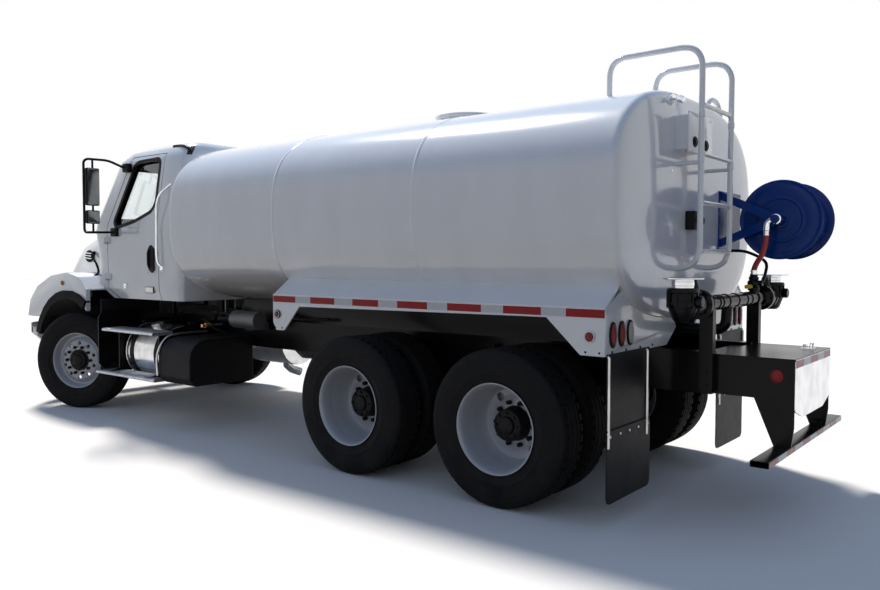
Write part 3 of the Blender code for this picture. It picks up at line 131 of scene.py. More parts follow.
def addTurned(bm, profile, matrix, segments=64, closed=False):
    # A profile of (radius, height) turned about the local Z axis
    corners = [bm.verts.new((radius, 0, height)) for radius, height in profile]
    lines = [bm.edges.new(pair) for pair in zip(corners, corners[1:])]
    if closed:
        lines.append(bm.edges.new((corners[-1], corners[0])))
    made = bmesh.ops.spin(bm, geom=corners + lines, cent=(0, 0, 0), axis=(0, 0, 1), angle=2 * math.pi,
                          steps=segments, use_merge=True)
    reach = {v for e in lines if e.is_valid for v in e.verts}
    for item in made["geom_last"]:
        if isinstance(item, bmesh.types.BMVert):
            reach.add(item)
    grown, front = set(reach), list(reach)
    while front:
        for edge in front.pop().link_edges:
            for v in edge.verts:
                if v not in grown:
                    grown.add(v)
                    front.append(v)
    verts = list(grown)
    bmesh.ops.remove_doubles(bm, verts=verts, dist=1e-5)
    verts = [v for v in verts if v.is_valid]
    bmesh.ops.transform(bm, matrix=matrix, verts=verts)
    return verts


def repeatAround(bm, verts, centre, axis, count):
    # Copies what the verts carry at equal angles about the axis
    faces = {f for v in verts for f in v.link_faces}
    edges = {e for v in verts for e in v.link_edges}
    bmesh.ops.spin(bm, geom=list(verts) + list(edges) + list(faces), cent=centre, axis=axis,
                   angle=2 * math.pi * (count - 1) / count, steps=count - 1, use_duplicate=True)


def smoothPath(points, spacing):
    ends = [points[0]] + list(points) + [points[-1]]
    path = []
    for a, b, c, d in zip(ends, ends[1:], ends[2:], ends[3:]):
        a, b, c, d = Vector(a), Vector(b), Vector(c), Vector(d)
        count = max(1, round((c - b).length / spacing))
        for i in range(count):
            t = i / count
            path.append(0.5 * (2 * b + (c - a) * t + (2 * a - 5 * b + 4 * c - d) * t * t
                               + (3 * b - a - 3 * c + d) * t ** 3))
    return path + [Vector(points[-1])]


def cornerArc(a, b, c, radius, steps):
    # An arc of about the radius at the corner b, within half of each side
    cut = min(radius, (a - b).length / 2.01, (c - b).length / 2.01)
    start, end = b + (a - b).normalized() * cut, b + (c - b).normalized() * cut
    shares = [i / steps for i in range(steps + 1)]
    return [start * (1 - t) ** 2 + b * 2 * t * (1 - t) + end * t ** 2 for t in shares]


def roundedPath(points, radius, steps=5):
    # Straight runs joined by arcs of about the radius
    corners = [Vector(point) for point in points]
    path = [corners[0]]
    for a, b, c in zip(corners, corners[1:], corners[2:]):
        path += cornerArc(a, b, c, radius, steps)
    return path + [corners[-1]]


def addPipe(bm, points, radius, resolution=3):
    curve = bpy.data.curves.new("pipe", "CURVE")
    curve.dimensions = "3D"
    curve.bevel_depth = radius
    curve.bevel_resolution = resolution
    curve.use_fill_caps = True
    line = curve.splines.new("POLY")
    line.points.add(len(points) - 1)
    for spot, place in zip(line.points, points):
        spot.co = (*place, 1)
    holder = bpy.data.objects.new("pipe", curve)
    bpy.context.scene.collection.objects.link(holder)
    bpy.context.view_layer.update()
    mesh = bpy.data.meshes.new_from_object(holder.evaluated_get(bpy.context.evaluated_depsgraph_get()))
    before = set(bm.verts)
    bm.from_mesh(mesh)
    made = [v for v in bm.verts if v not in before]
    bmesh.ops.remove_doubles(bm, verts=made, dist=1e-5)
    bpy.data.objects.remove(holder)
    bpy.data.curves.remove(curve)
    bpy.data.meshes.remove(mesh)
    return [v for v in made if v.is_valid]


def edgesOf(verts):
    return list({e for v in verts for e in v.link_edges})


def roundEdges(bm, edges, width, segments):
    bmesh.ops.bevel(bm, geom=edges, offset=width, segments=segments, affect="EDGES", profile=0.5, material=-1)


def addForm(bm, form, turn=None):
    # Copies one bmesh into another
    mesh = bpy.data.meshes.new("form")
    form.to_mesh(mesh)
    if turn:
        mesh.transform(turn)
    bm.from_mesh(mesh)
    bpy.data.meshes.remove(mesh)


def paintFaces(verts, index):
    for face in {f for v in verts for f in v.link_faces}:
        face.material_index = index
    return verts


def makePiece(name, bm, looks, body, stands=(), smooth=35, bevel=0, recalc=True):
    if recalc:
        bmesh.ops.recalc_face_normals(bm, faces=bm.faces)
    mesh = bpy.data.meshes.new(name)
    bm.to_mesh(mesh)
    bm.free()
    for look in looks if isinstance(looks, (list, tuple)) else [looks]:
        mesh.materials.append(look)
    mesh.shade_smooth()
    mesh.set_sharp_from_angle(angle=math.radians(smooth))
    piece = bpy.data.objects.new(name, mesh)
    bpy.context.scene.collection.objects.link(piece)
    if bevel:
        edge = piece.modifiers.new("roundedEdges", "BEVEL")
        edge.width = bevel
        edge.segments = 2
        edge.limit_method = "ANGLE"
        edge.angle_limit = math.radians(40)
        edge.harden_normals = True
    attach(piece, body)
    if stands:
        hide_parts(*([stands] if isinstance(stands, str) else stands))
    return piece


def cutPiece(bm, cutters):
    # Cuts each cutter's bmesh out of bm with an exact Boolean, and gives the result back
    def hold(form):
        bmesh.ops.recalc_face_normals(form, faces=form.faces)
        mesh = bpy.data.meshes.new("cut")
        form.to_mesh(mesh)
        form.free()
        item = bpy.data.objects.new("cut", mesh)
        bpy.context.scene.collection.objects.link(item)
        return item
    body = hold(bm)
    tools = [(hold(form), operation) for form, operation in cutters]
    for tool, operation in tools:
        step = body.modifiers.new("cut", "BOOLEAN")
        step.solver = "EXACT"
        step.operation = operation
        step.object = tool
    bpy.context.view_layer.update()
    mesh = bpy.data.meshes.new_from_object(body.evaluated_get(bpy.context.evaluated_depsgraph_get()))
    result = bmesh.new()
    result.from_mesh(mesh)
    for item in [body] + [tool for tool, operation in tools]:
        old = item.data
        bpy.data.objects.remove(item)
        bpy.data.meshes.remove(old)
    bpy.data.meshes.remove(mesh)
    return result


# Materials

def newGroup(name, inputs, outputs):
    group = bpy.data.node_groups.new(name, "ShaderNodeTree")
    for label, kind, value in inputs:
        socket = group.interface.new_socket(name=label, in_out="INPUT", socket_type=kind)
        socket.default_value = value
    for label, kind in outputs:
        group.interface.new_socket(name=label, in_out="OUTPUT", socket_type=kind)
    enter = group.nodes.new("NodeGroupInput")
    leave = group.nodes.new("NodeGroupOutput")
    return group, enter, leave


def addNode(tree, kind, settings=None, **values):
    node = tree.nodes.new(kind)
    for key, value in (settings or {}).items():
        setattr(node, key, value)
    for key, value in values.items():
        node.inputs[key.replace("_", " ")].default_value = value
    return node


def objectPlace(tree):
    return addNode(tree, "ShaderNodeTexCoord").outputs["Object"]


def feed(tree, value, socket):
    # A number is set on the socket, and another socket is linked to it
    if isinstance(value, (int, float)):
        socket.default_value = value
    else:
        tree.links.new(value, socket)


def addMath(tree, operation, *values, clamp=False):
    node = addNode(tree, "ShaderNodeMath", {"operation": operation, "use_clamp": clamp})
    for value, socket in zip(values, node.inputs):
        feed(tree, value, socket)
    return node.outputs[0]


def addBump(tree, height, strength, distance):
    bump = addNode(tree, "ShaderNodeBump", Distance=distance)
    tree.links.new(height, bump.inputs["Height"])
    feed(tree, strength, bump.inputs["Strength"])
    return bump


def noiseIn(tree, coordinates, scale, detail=3.0, stretch=None):
    source = coordinates
    if stretch:
        mapping = addNode(tree, "ShaderNodeMapping")
        mapping.inputs["Scale"].default_value = stretch
        tree.links.new(coordinates, mapping.inputs["Vector"])
        source = mapping.outputs["Vector"]
    noise = addNode(tree, "ShaderNodeTexNoise", Scale=scale, Detail=detail)
    tree.links.new(source, noise.inputs["Vector"])
    return noise


def mixColour(tree, blend="MIX"):
    # The sockets of a colour mix: its factor, its two colours and its result
    mix = addNode(tree, "ShaderNodeMix", {"data_type": "RGBA", "blend_type": blend})
    return mix.inputs[0], mix.inputs[6], mix.inputs[7], mix.outputs[2]


def buildPaintFilm():
    # Slight ripple of a painted panel, fine peel, and a faint change of shade
    group, enter, leave = newGroup(
        "paintFilm",
        [("Colour", "NodeSocketColor", (1, 1, 1, 1)), ("Ripple", "NodeSocketFloat", 0.2),
         ("Peel", "NodeSocketFloat", 0.05), ("Roughness", "NodeSocketFloat", 0.2)],
        [("Colour", "NodeSocketColor"), ("Roughness", "NodeSocketFloat"), ("Normal", "NodeSocketVector")])
    links = group.links
    where = objectPlace(group)
    broad = noiseIn(group, where, 1.1, 2.0)
    fine = noiseIn(group, where, 420.0, 1.0)
    shade = noiseIn(group, where, 3.5, 4.0, (1, 1, 0.3))
    ripple = addBump(group, broad.outputs["Fac"], enter.outputs["Ripple"], 0.03)
    peel = addBump(group, fine.outputs["Fac"], enter.outputs["Peel"], 0.0006)
    links.new(ripple.outputs["Normal"], peel.inputs["Normal"])
    links.new(peel.outputs["Normal"], leave.inputs["Normal"])
    factor, first, second, out = mixColour(group, "MULTIPLY")
    ramp = addNode(group, "ShaderNodeMapRange", From_Min=0.35, From_Max=0.75, To_Min=1.0, To_Max=0.93)
    links.new(shade.outputs["Fac"], ramp.inputs["Value"])
    factor.default_value = 1.0
    links.new(enter.outputs["Colour"], first)
    links.new(ramp.outputs["Result"], second)
    links.new(out, leave.inputs["Colour"])
    rough = addMath(group, "MULTIPLY_ADD", shade.outputs["Fac"], 0.08, enter.outputs["Roughness"])
    links.new(rough, leave.inputs["Roughness"])
    return group


def buildRoadDust():
    # Pale dust that thins out with height above the road
    group, enter, leave = newGroup(
        "roadDust",
        [("Colour", "NodeSocketColor", (0, 0, 0, 1)), ("Dust", "NodeSocketColor", (0.30, 0.27, 0.23, 1)),
         ("Top", "NodeSocketFloat", 1.2), ("Amount", "NodeSocketFloat", 0.3),
         ("Roughness", "NodeSocketFloat", 0.4)],
        [("Colour", "NodeSocketColor"), ("Roughness", "NodeSocketFloat"), ("Mask", "NodeSocketFloat")])
    links = group.links
    where = objectPlace(group)
    split = addNode(group, "ShaderNodeSeparateXYZ")
    links.new(where, split.inputs["Vector"])
    fade = addNode(group, "ShaderNodeMapRange", From_Min=0.0, To_Min=1.0, To_Max=0.0)
    links.new(split.outputs["Z"], fade.inputs["Value"])
    links.new(enter.outputs["Top"], fade.inputs["From Max"])
    patches = noiseIn(group, where, 5.0, 6.0)
    patchRange = addNode(group, "ShaderNodeMapRange", From_Min=0.35, From_Max=0.8)
    links.new(patches.outputs["Fac"], patchRange.inputs["Value"])
    both = addMath(group, "MULTIPLY", fade.outputs["Result"], patchRange.outputs["Result"])
    scaled = addMath(group, "MULTIPLY", both, enter.outputs["Amount"], clamp=True)
    factor, first, second, out = mixColour(group)
    links.new(scaled, factor)
    links.new(enter.outputs["Colour"], first)
    links.new(enter.outputs["Dust"], second)
    links.new(out, leave.inputs["Colour"])
    rough = addMath(group, "MULTIPLY_ADD", scaled, 0.5, enter.outputs["Roughness"], clamp=True)
    links.new(rough, leave.inputs["Roughness"])
    links.new(scaled, leave.inputs["Mask"])
    return group


def buildGrain():
    # Moulded or cast grain as a normal, with a matching change of roughness
    group, enter, leave = newGroup(
        "mouldedGrain",
        [("Scale", "NodeSocketFloat", 400.0), ("Depth", "NodeSocketFloat", 0.3),
         ("Roughness", "NodeSocketFloat", 0.5)],
        [("Normal", "NodeSocketVector"), ("Roughness", "NodeSocketFloat"), ("Height", "NodeSocketFloat")])
    links = group.links
    where = objectPlace(group)
    cells = addNode(group, "ShaderNodeTexVoronoi", {"feature": "SMOOTH_F1"})
    links.new(where, cells.inputs["Vector"])
    links.new(enter.outputs["Scale"], cells.inputs["Scale"])
    bump = addBump(group, cells.outputs["Distance"], enter.outputs["Depth"], 0.0008)
    links.new(bump.outputs["Normal"], leave.inputs["Normal"])
    patches = noiseIn(group, where, 14.0, 5.0)
    rough = addMath(group, "MULTIPLY_ADD", patches.outputs["Fac"], 0.18, enter.outputs["Roughness"])
    links.new(rough, leave.inputs["Roughness"])
    links.new(cells.outputs["Distance"], leave.inputs["Height"])
    return group


def buildBrushed():
    # Fine drawn lines along one axis
    group, enter, leave = newGroup(
        "drawnLines",
        [("Colour", "NodeSocketColor", (0.6, 0.6, 0.6, 1)), ("Stretch", "NodeSocketVector", (4, 600, 600)),
         ("Depth", "NodeSocketFloat", 0.15), ("Roughness", "NodeSocketFloat", 0.2)],
        [("Colour", "NodeSocketColor"), ("Roughness", "NodeSocketFloat"), ("Normal", "NodeSocketVector")])
    links = group.links
    where = objectPlace(group)
    mapping = addNode(group, "ShaderNodeMapping")
    links.new(where, mapping.inputs["Vector"])
    links.new(enter.outputs["Stretch"], mapping.inputs["Scale"])
    lines = addNode(group, "ShaderNodeTexNoise", Scale=1.0, Detail=4.0)
    links.new(mapping.outputs["Vector"], lines.inputs["Vector"])
    bump = addBump(group, lines.outputs["Fac"], enter.outputs["Depth"], 0.0004)
    links.new(bump.outputs["Normal"], leave.inputs["Normal"])
    stains = noiseIn(group, where, 9.0, 6.0)
    factor, first, second, out = mixColour(group, "MULTIPLY")
    shade = addNode(group, "ShaderNodeMapRange", From_Min=0.4, From_Max=0.75, To_Min=1.0, To_Max=0.72)
    links.new(stains.outputs["Fac"], shade.inputs["Value"])
    factor.default_value = 1.0
    links.new(enter.outputs["Colour"], first)
    links.new(shade.outputs["Result"], second)
    links.new(out, leave.inputs["Colour"])
    rough = addMath(group, "MULTIPLY_ADD", stains.outputs["Fac"], 0.15, enter.outputs["Roughness"])
    links.new(rough, leave.inputs["Roughness"])
    return group


paintFilm = buildPaintFilm()
roadDust = buildRoadDust()
mouldedGrain = buildGrain()
drawnLines = buildBrushed()


def newLook(name, metallic=0.0, roughness=0.5, **settings):
    look = bpy.data.materials.new(name)
    look.use_nodes = True
    tree = look.node_tree
    shader = tree.nodes["Principled BSDF"]
    shader.inputs["Metallic"].default_value = metallic
    shader.inputs["Roughness"].default_value = roughness
    for key, value in settings.items():
        shader.inputs[key.replace("_", " ")].default_value = value
    return look, tree, shader


def useGroup(tree, group, **values):
    node = tree.nodes.new("ShaderNodeGroup")
    node.node_tree = group
    for key, value in values.items():
        node.inputs[key].default_value = value
    return node


def paintLook(name, colour, roughness=0.16, ripple=0.1, coat=0.6, dust=0.0, dustTop=1.2, shine=0.5):
    look, tree, shader = newLook(name, Coat_Weight=coat, Coat_Roughness=0.04, Specular_IOR_Level=shine)
    film = useGroup(tree, paintFilm, Colour=(*colour, 1), Ripple=ripple, Roughness=roughness)
    tree.links.new(film.outputs["Normal"], shader.inputs["Normal"])
    grime = useGroup(tree, roadDust, Amount=dust, Top=dustTop)
    tree.links.new(film.outputs["Colour"], grime.inputs["Colour"])
    tree.links.new(film.outputs["Roughness"], grime.inputs["Roughness"])
    tree.links.new(grime.outputs["Colour"], shader.inputs["Base Color"])
    tree.links.new(grime.outputs["Roughness"], shader.inputs["Roughness"])
    return look


def grainLook(name, colour, roughness, scale, depth, dust=0.0, dustTop=1.0, metallic=0.0, shine=0.10):
    look, tree, shader = newLook(name, metallic=metallic, Specular_IOR_Level=shine)
    grain = useGroup(tree, mouldedGrain, Scale=scale, Depth=depth, Roughness=roughness)
    tree.links.new(grain.outputs["Normal"], shader.inputs["Normal"])
    grime = useGroup(tree, roadDust, Colour=(*colour, 1), Amount=dust, Top=dustTop)
    tree.links.new(grain.outputs["Roughness"], grime.inputs["Roughness"])
    tree.links.new(grime.outputs["Colour"], shader.inputs["Base Color"])
    tree.links.new(grime.outputs["Roughness"], shader.inputs["Roughness"])
    return look


def metalLook(name, colour, roughness, stretch=(4, 600, 600), depth=0.1):
    look, tree, shader = newLook(name, metallic=1.0)
    lines = useGroup(tree, drawnLines, Colour=(*colour, 1), Stretch=stretch, Depth=depth, Roughness=roughness)
    for label, socket in (("Colour", "Base Color"), ("Roughness", "Roughness"), ("Normal", "Normal")):
        tree.links.new(lines.outputs[label], shader.inputs[socket])
    return look


def glassLook():
    # Clear window glass, darker and shinier at a slant
    look, tree, shader = newLook("windowGlass", roughness=0.02, Transmission_Weight=1.0, IOR=1.45)
    film = useGroup(tree, paintFilm, Colour=(0.92, 0.955, 0.955, 1), Ripple=0.02, Peel=0.0, Roughness=0.0)
    tree.links.new(film.outputs["Colour"], shader.inputs["Base Color"])
    tree.links.new(film.outputs["Normal"], shader.inputs["Normal"])
    return look


def lensLook(name, colour, ribScale=160.0):
    # A moulded lens with fine ribs under a smooth face
    look, tree, shader = newLook(name, roughness=0.12, Coat_Weight=0.08, Coat_Roughness=0.03,
                                 Specular_IOR_Level=0.2)
    where = objectPlace(tree)
    ribs = addNode(tree, "ShaderNodeTexWave", {"bands_direction": "Z"}, Scale=ribScale)
    tree.links.new(where, ribs.inputs["Vector"])
    factor, first, second, out = mixColour(tree)
    tree.links.new(ribs.outputs["Fac"], factor)
    first.default_value = (*colour, 1)
    second.default_value = (*[c * 0.55 for c in colour], 1)
    tree.links.new(out, shader.inputs["Base Color"])
    bump = addBump(tree, ribs.outputs["Fac"], 0.3, 0.001)
    tree.links.new(bump.outputs["Normal"], shader.inputs["Normal"])
    return look


def tapeLook(name, colour):
    # Reflective tape: a fine honeycomb under a clear film
    look, tree, shader = newLook(name, roughness=0.25, Coat_Weight=0.04, Coat_Roughness=0.1,
                                 Specular_IOR_Level=0.15)
    where = objectPlace(tree)
    cells = addNode(tree, "ShaderNodeTexVoronoi", {"feature": "DISTANCE_TO_EDGE"}, Scale=180.0)
    tree.links.new(where, cells.inputs["Vector"])
    edge = addNode(tree, "ShaderNodeMapRange", From_Max=0.12)
    tree.links.new(cells.outputs["Distance"], edge.inputs["Value"])
    factor, first, second, out = mixColour(tree)
    tree.links.new(edge.outputs["Result"], factor)
    first.default_value = (*[min(1, c * 1.3 + 0.01) for c in colour], 1)
    second.default_value = (*colour, 1)
    tree.links.new(out, shader.inputs["Base Color"])
    return look


def clothLook():
    # Seat cloth: a plain weave with a soft sheen
    look, tree, shader = newLook("seatCloth", roughness=0.9, Sheen_Weight=0.3)
    where = objectPlace(tree)
    warp = addNode(tree, "ShaderNodeTexWave", {"bands_direction": "Y"}, Scale=260.0, Distortion=0.6)
    weft = addNode(tree, "ShaderNodeTexWave", {"bands_direction": "Z"}, Scale=260.0, Distortion=0.6)
    for wave in (warp, weft):
        tree.links.new(where, wave.inputs["Vector"])
    both = addMath(tree, "MULTIPLY", warp.outputs["Fac"], weft.outputs["Fac"])
    factor, first, second, out = mixColour(tree)
    tree.links.new(both, factor)
    first.default_value = (0.035, 0.036, 0.04, 1)
    second.default_value = (0.10, 0.10, 0.11, 1)
    tree.links.new(out, shader.inputs["Base Color"])
    bump = addBump(tree, both, 0.4, 0.0006)
    tree.links.new(bump.outputs["Normal"], shader.inputs["Normal"])
    return look


def hoseLook():
    # Red water hose with a faint woven cord under its cover
    look, tree, shader = newLook("hoseRed", roughness=0.42)
    where = objectPlace(tree)
    weave = addNode(tree, "ShaderNodeTexWave", {"bands_direction": "DIAGONAL"}, Scale=120.0, Distortion=0.4)
    tree.links.new(where, weave.inputs["Vector"])
    factor, first, second, out = mixColour(tree)
    tree.links.new(weave.outputs["Fac"], factor)
    first.default_value = (0.30, 0.018, 0.02, 1)
    second.default_value = (0.44, 0.035, 0.035, 1)
    tree.links.new(out, shader.inputs["Base Color"])
    bump = addBump(tree, weave.outputs["Fac"], 0.25, 0.0008)
    tree.links.new(bump.outputs["Normal"], shader.inputs["Normal"])
    return look


def treadPlateLook():
    # Serrated aluminium tread
    look, tree, shader = newLook("serratedTread", metallic=1.0)
    where = objectPlace(tree)
    lines = useGroup(tree, drawnLines, Colour=(0.56, 0.57, 0.59, 1), Stretch=(300, 12, 12), Depth=0.1,
                     Roughness=0.28)
    teeth = addNode(tree, "ShaderNodeTexWave", {"bands_direction": "X"}, Scale=22.0)
    tree.links.new(where, teeth.inputs["Vector"])
    bump = addBump(tree, teeth.outputs["Fac"], 0.5, 0.003)
    tree.links.new(lines.outputs["Normal"], bump.inputs["Normal"])
    tree.links.new(bump.outputs["Normal"], shader.inputs["Normal"])
    tree.links.new(lines.outputs["Colour"], shader.inputs["Base Color"])
    tree.links.new(lines.outputs["Roughness"], shader.inputs["Roughness"])
    return look


whitePaint = paintLook("whitePaint", (0.80, 0.83, 0.86), ripple=0.05, dust=0.08, dustTop=1.0)
tankPaint = paintLook("tankPaint", (0.80, 0.835, 0.88), roughness=0.13, ripple=0.16)
chassisBlack = paintLook("chassisBlack", (0.005, 0.005, 0.006), roughness=0.20, coat=0.02, dust=0.08,
                         shine=0.10)
reelBlue = paintLook("reelBlue", (0.001, 0.042, 0.24), roughness=0.16, coat=0.02, shine=0.14)
wheelGrey = paintLook("wheelGrey", (0.46, 0.48, 0.52), roughness=0.3, coat=0.3, dust=0.2, dustTop=1.0)
tyreBlack = grainLook("tyreBlack", (0.009, 0.009, 0.010), 0.62, 300.0, 0.12, dust=0.08, dustTop=0.9)
plasticBlack = grainLook("plasticBlack", (0.008, 0.008, 0.009), 0.42, 500.0, 0.2, dust=0.05)
archBlack = grainLook("archBlack", (0.006, 0.006, 0.007), 0.55, 500.0, 0.2, shine=0.06)
flapBlack = grainLook("flapBlack", (0.007, 0.007, 0.008), 0.35, 200.0, 0.1, dust=0.06, dustTop=0.8)
hubBlack = grainLook("hubBlack", (0.008, 0.008, 0.009), 0.30, 260.0, 0.12, dust=0.06)
sealBlack = grainLook("sealBlack", (0.010, 0.010, 0.011), 0.38, 300.0, 0.10)
trimGrey = grainLook("trimGrey", (0.055, 0.056, 0.060), 0.60, 420.0, 0.25)
castIron = grainLook("castIron", (0.16, 0.165, 0.17), 0.42, 220.0, 0.35, dust=0.15, dustTop=1.4, metallic=0.6)
polishedSteel = metalLook("polishedSteel", (0.80, 0.81, 0.82), 0.06, (3, 260, 260), 0.04)
brushedTank = metalLook("brushedTank", (0.72, 0.72, 0.72), 0.14, (500, 5, 5), 0.12)
zincSteel = metalLook("zincSteel", (0.56, 0.56, 0.55), 0.26, (20, 300, 300), 0.12)
brassFitting = metalLook("brassFitting", (0.66, 0.40, 0.16), 0.25, (30, 200, 200), 0.1)
mirrorGlass = metalLook("mirrorGlass", (0.86, 0.89, 0.91), 0.01, (2, 2, 2), 0.0)
treadPlate = treadPlateLook()
windowGlass = glassLook()
redLens = lensLook("redLens", (0.34, 0.006, 0.010))
redReflector = lensLook("redReflector", (0.60, 0.010, 0.014), 320.0)
clearLens = lensLook("clearLens", (0.62, 0.63, 0.62))
amberLens = lensLook("amberLens", (0.62, 0.24, 0.01))
redTape = tapeLook("redTape", (0.30, 0.006, 0.010))
silverTape = tapeLook("silverTape", (0.58, 0.60, 0.62))
seatCloth = clothLook()
hoseRed = hoseLook()
yellowGrip = grainLook("yellowGrip", (0.70, 0.48, 0.02), 0.4, 300.0, 0.1)
stage("materials")


# Studio

studio = {"lens": 32.65, "cameraStation": -3.5387, "cameraY": 5.3965, "cameraZ": 1.5918,
          "yaw": -0.899778, "pitch": -0.042841, "roll": 0.001617, "floorSize": 120.0,
          "floorColour": (0.96, 0.925, 0.88), "groundColour": (0.20, 0.17, 0.14),
          "skyColour": (0.46, 0.64, 1.0), "skyStrength": 0.35, "backdropTop": (0.45, 0.62, 0.92)}


def makeCamera(s):
    yaw, pitch = s["yaw"], s["pitch"]
    ahead = Vector((math.cos(pitch) * math.cos(yaw), math.cos(pitch) * math.sin(yaw), math.sin(pitch)))
    right = ahead.cross(Vector((0, 0, 1))).normalized()
    up = right.cross(ahead)
    right, up = (right * math.cos(s["roll"]) + up * math.sin(s["roll"]),
                 up * math.cos(s["roll"]) - right * math.sin(s["roll"]))
    data = bpy.data.cameras.new("photoCamera")
    data.lens = s["lens"]
    data.sensor_width = 36.0
    data.clip_end = 400.0
    camera = bpy.data.objects.new("photoCamera", data)
    camera.matrix_world = Matrix.Translation(at(s["cameraStation"], s["cameraY"], s["cameraZ"])) \
        @ Matrix((right, up, -ahead)).transposed().to_4x4()
    bpy.context.scene.collection.objects.link(camera)
    bpy.context.scene.camera = camera


def makeWorld(s):
    # A white backdrop for the camera, metal and glass, turning blue overhead, and a softer sky for the light
    world = bpy.data.worlds.new("studioSky")
    bpy.context.scene.world = world
    world.use_nodes = True
    tree = world.node_tree
    tree.nodes.clear()
    out = addNode(tree, "ShaderNodeOutputWorld")
    paths = addNode(tree, "ShaderNodeLightPath")
    where = addNode(tree, "ShaderNodeTexCoord")
    split = addNode(tree, "ShaderNodeSeparateXYZ")
    tree.links.new(where.outputs["Generated"], split.inputs["Vector"])

    def ramp(*stops):
        node = addNode(tree, "ShaderNodeValToRGB")
        band = node.color_ramp
        band.elements[0].position, band.elements[0].color = stops[0][0], (*stops[0][1], 1)
        band.elements[1].position, band.elements[1].color = stops[-1][0], (*stops[-1][1], 1)
        for position, colour in stops[1:-1]:
            band.elements.new(position).color = (*colour, 1)
        tree.links.new(split.outputs["Z"], node.inputs["Fac"])
        return node

    back = ramp((0.0, (1, 1, 1)), (0.36, (1, 1, 1)), (0.60, s["backdropTop"]), (1.0, s["backdropTop"]))
    shown = addNode(tree, "ShaderNodeBackground", Strength=1.0)
    tree.links.new(back.outputs["Color"], shown.inputs["Color"])
    glow = ramp((0.0, (0.62, 0.60, 0.58)), (0.10, (0.80, 0.86, 0.95)), (0.5, s["skyColour"]),
                (1.0, s["skyColour"]))
    sky = addNode(tree, "ShaderNodeBackground", Strength=s["skyStrength"])
    tree.links.new(glow.outputs["Color"], sky.inputs["Color"])
    mix = addNode(tree, "ShaderNodeMixShader")
    tree.links.new(seenOutright(tree, paths), mix.inputs[0])
    tree.links.new(sky.outputs[0], mix.inputs[1])
    tree.links.new(shown.outputs[0], mix.inputs[2])
    tree.links.new(mix.outputs[0], out.inputs["Surface"])


def seenOutright(tree, paths):
    # 1 for camera, glossy and transmission rays
    total = paths.outputs["Is Camera Ray"]
    for label in ("Is Glossy Ray", "Is Transmission Ray"):
        total = addMath(tree, "MAXIMUM", total, paths.outputs[label])
    return total


def makeLamp(name, kind, energy, place, aim, size=None, colour=(1, 1, 1)):
    data = bpy.data.lights.new(name, kind)
    data.energy = energy
    data.color = colour
    if kind == "AREA":
        data.shape = "RECTANGLE"
        data.size, data.size_y = size
    else:
        data.angle = size
    lamp = bpy.data.objects.new(name, data)
    lamp.location = place
    lamp.rotation_euler = (Vector(aim) - Vector(place)).to_track_quat("-Z", "Y").to_euler()
    bpy.context.scene.collection.objects.link(lamp)


def makeFloor(s):
    bm = bmesh.new()
    bmesh.ops.create_grid(bm, x_segments=1, y_segments=1, size=s["floorSize"] / 2)
    mesh = bpy.data.meshes.new("floor")
    bm.to_mesh(mesh)
    bm.free()
    look, tree, shader = newLook("paleFloor", roughness=0.9)
    where = objectPlace(tree)
    patches = noiseIn(tree, where, 0.8, 4.0)
    factor, first, second, colour = mixColour(tree)
    tree.links.new(patches.outputs["Fac"], factor)
    first.default_value = (*s["floorColour"], 1)
    second.default_value = (*[c * 0.985 for c in s["floorColour"]], 1)
    share, dark, pale, shownColour = mixColour(tree)
    tree.links.new(seenOutright(tree, addNode(tree, "ShaderNodeLightPath")), share)
    dark.default_value = (*s["groundColour"], 1)
    tree.links.new(colour, pale)
    tree.links.new(shownColour, shader.inputs["Base Color"])
    mesh.materials.append(look)
    floor = bpy.data.objects.new("floor", mesh)
    bpy.context.scene.collection.objects.link(floor)


makeCamera(studio)
makeWorld(studio)
makeFloor(studio)
makeLamp("sun", "SUN", 3.8, (9, -4, 13), (0, 0, 0.5), math.radians(9), (1.0, 0.96, 0.91))
makeLamp("leftSky", "AREA", 60, (-4, 12, 7), (-1, 0, 1.4), (14, 7), (0.80, 0.89, 1.0))
bpy.context.scene.view_settings.view_transform = "Standard"
stage("studio")


# The feed hose from the reel's swivel to the valve on the manifold: the route's points as in part.py

hoseRoute = {"points": ((-1.85, -0.39, 1.80), (-1.85, -0.39, 1.77), (-1.845, -0.392, 1.72),
                        (-1.822, -0.398, 1.64), (-1.785, -0.405, 1.58), (-1.765, -0.41, 1.53),
                        (-1.765, -0.41, 1.50)),
             "radius": 0.019, "spacing": 0.012}


def makeFeedHose(s):
    path = smoothPath([at(*p) for p in s["points"]], s["spacing"])
    bm = bmesh.new()
    addPipe(bm, path, s["radius"], 6)
    hose = makePiece("feedHose", bm, hoseRed, "chassis", "feed_hose", smooth=50)
    # Silver ferrules at both ends, and the chrome elbow of the swivel
    bm = bmesh.new()
    steel = []
    for place, way in ((path[0], 1), (path[-1], -1)):
        steel += addTurned(bm, [(0.0195, 0.030), (0.0235, 0.028), (0.0235, 0.018), (0.0215, 0.016),
                                (0.0215, 0.006), (0.0235, 0.004), (0.0235, -0.002), (0.0195, -0.004)],
                           placeAt(place, (0, 0, -way)), 32)
    steel += addPipe(bm, roundedPath([at(-1.91, -0.445, 1.885), at(-1.91, -0.392, 1.885),
                                      at(-1.852, -0.39, 1.862), at(-1.85, -0.39, 1.806)], 0.035, 6), 0.0245,
                     5)
    steel += addTurned(bm, [(0.026, 0.050), (0.036, 0.046), (0.040, 0.036), (0.040, 0.012), (0.034, 0.002),
                            (0.026, 0)],
                       placeAt(at(-1.91, -0.435, 1.885), (0, 1, 0)), 40)
    paintFaces(steel, 0)
    makePiece("swivelFine", bm, polishedSteel, "chassis", smooth=40)


makeFeedHose(hoseRoute)
stage("feed hose")


# Carried-over pieces: merged, smoothed and edge-rounded copies of the CAD nodes

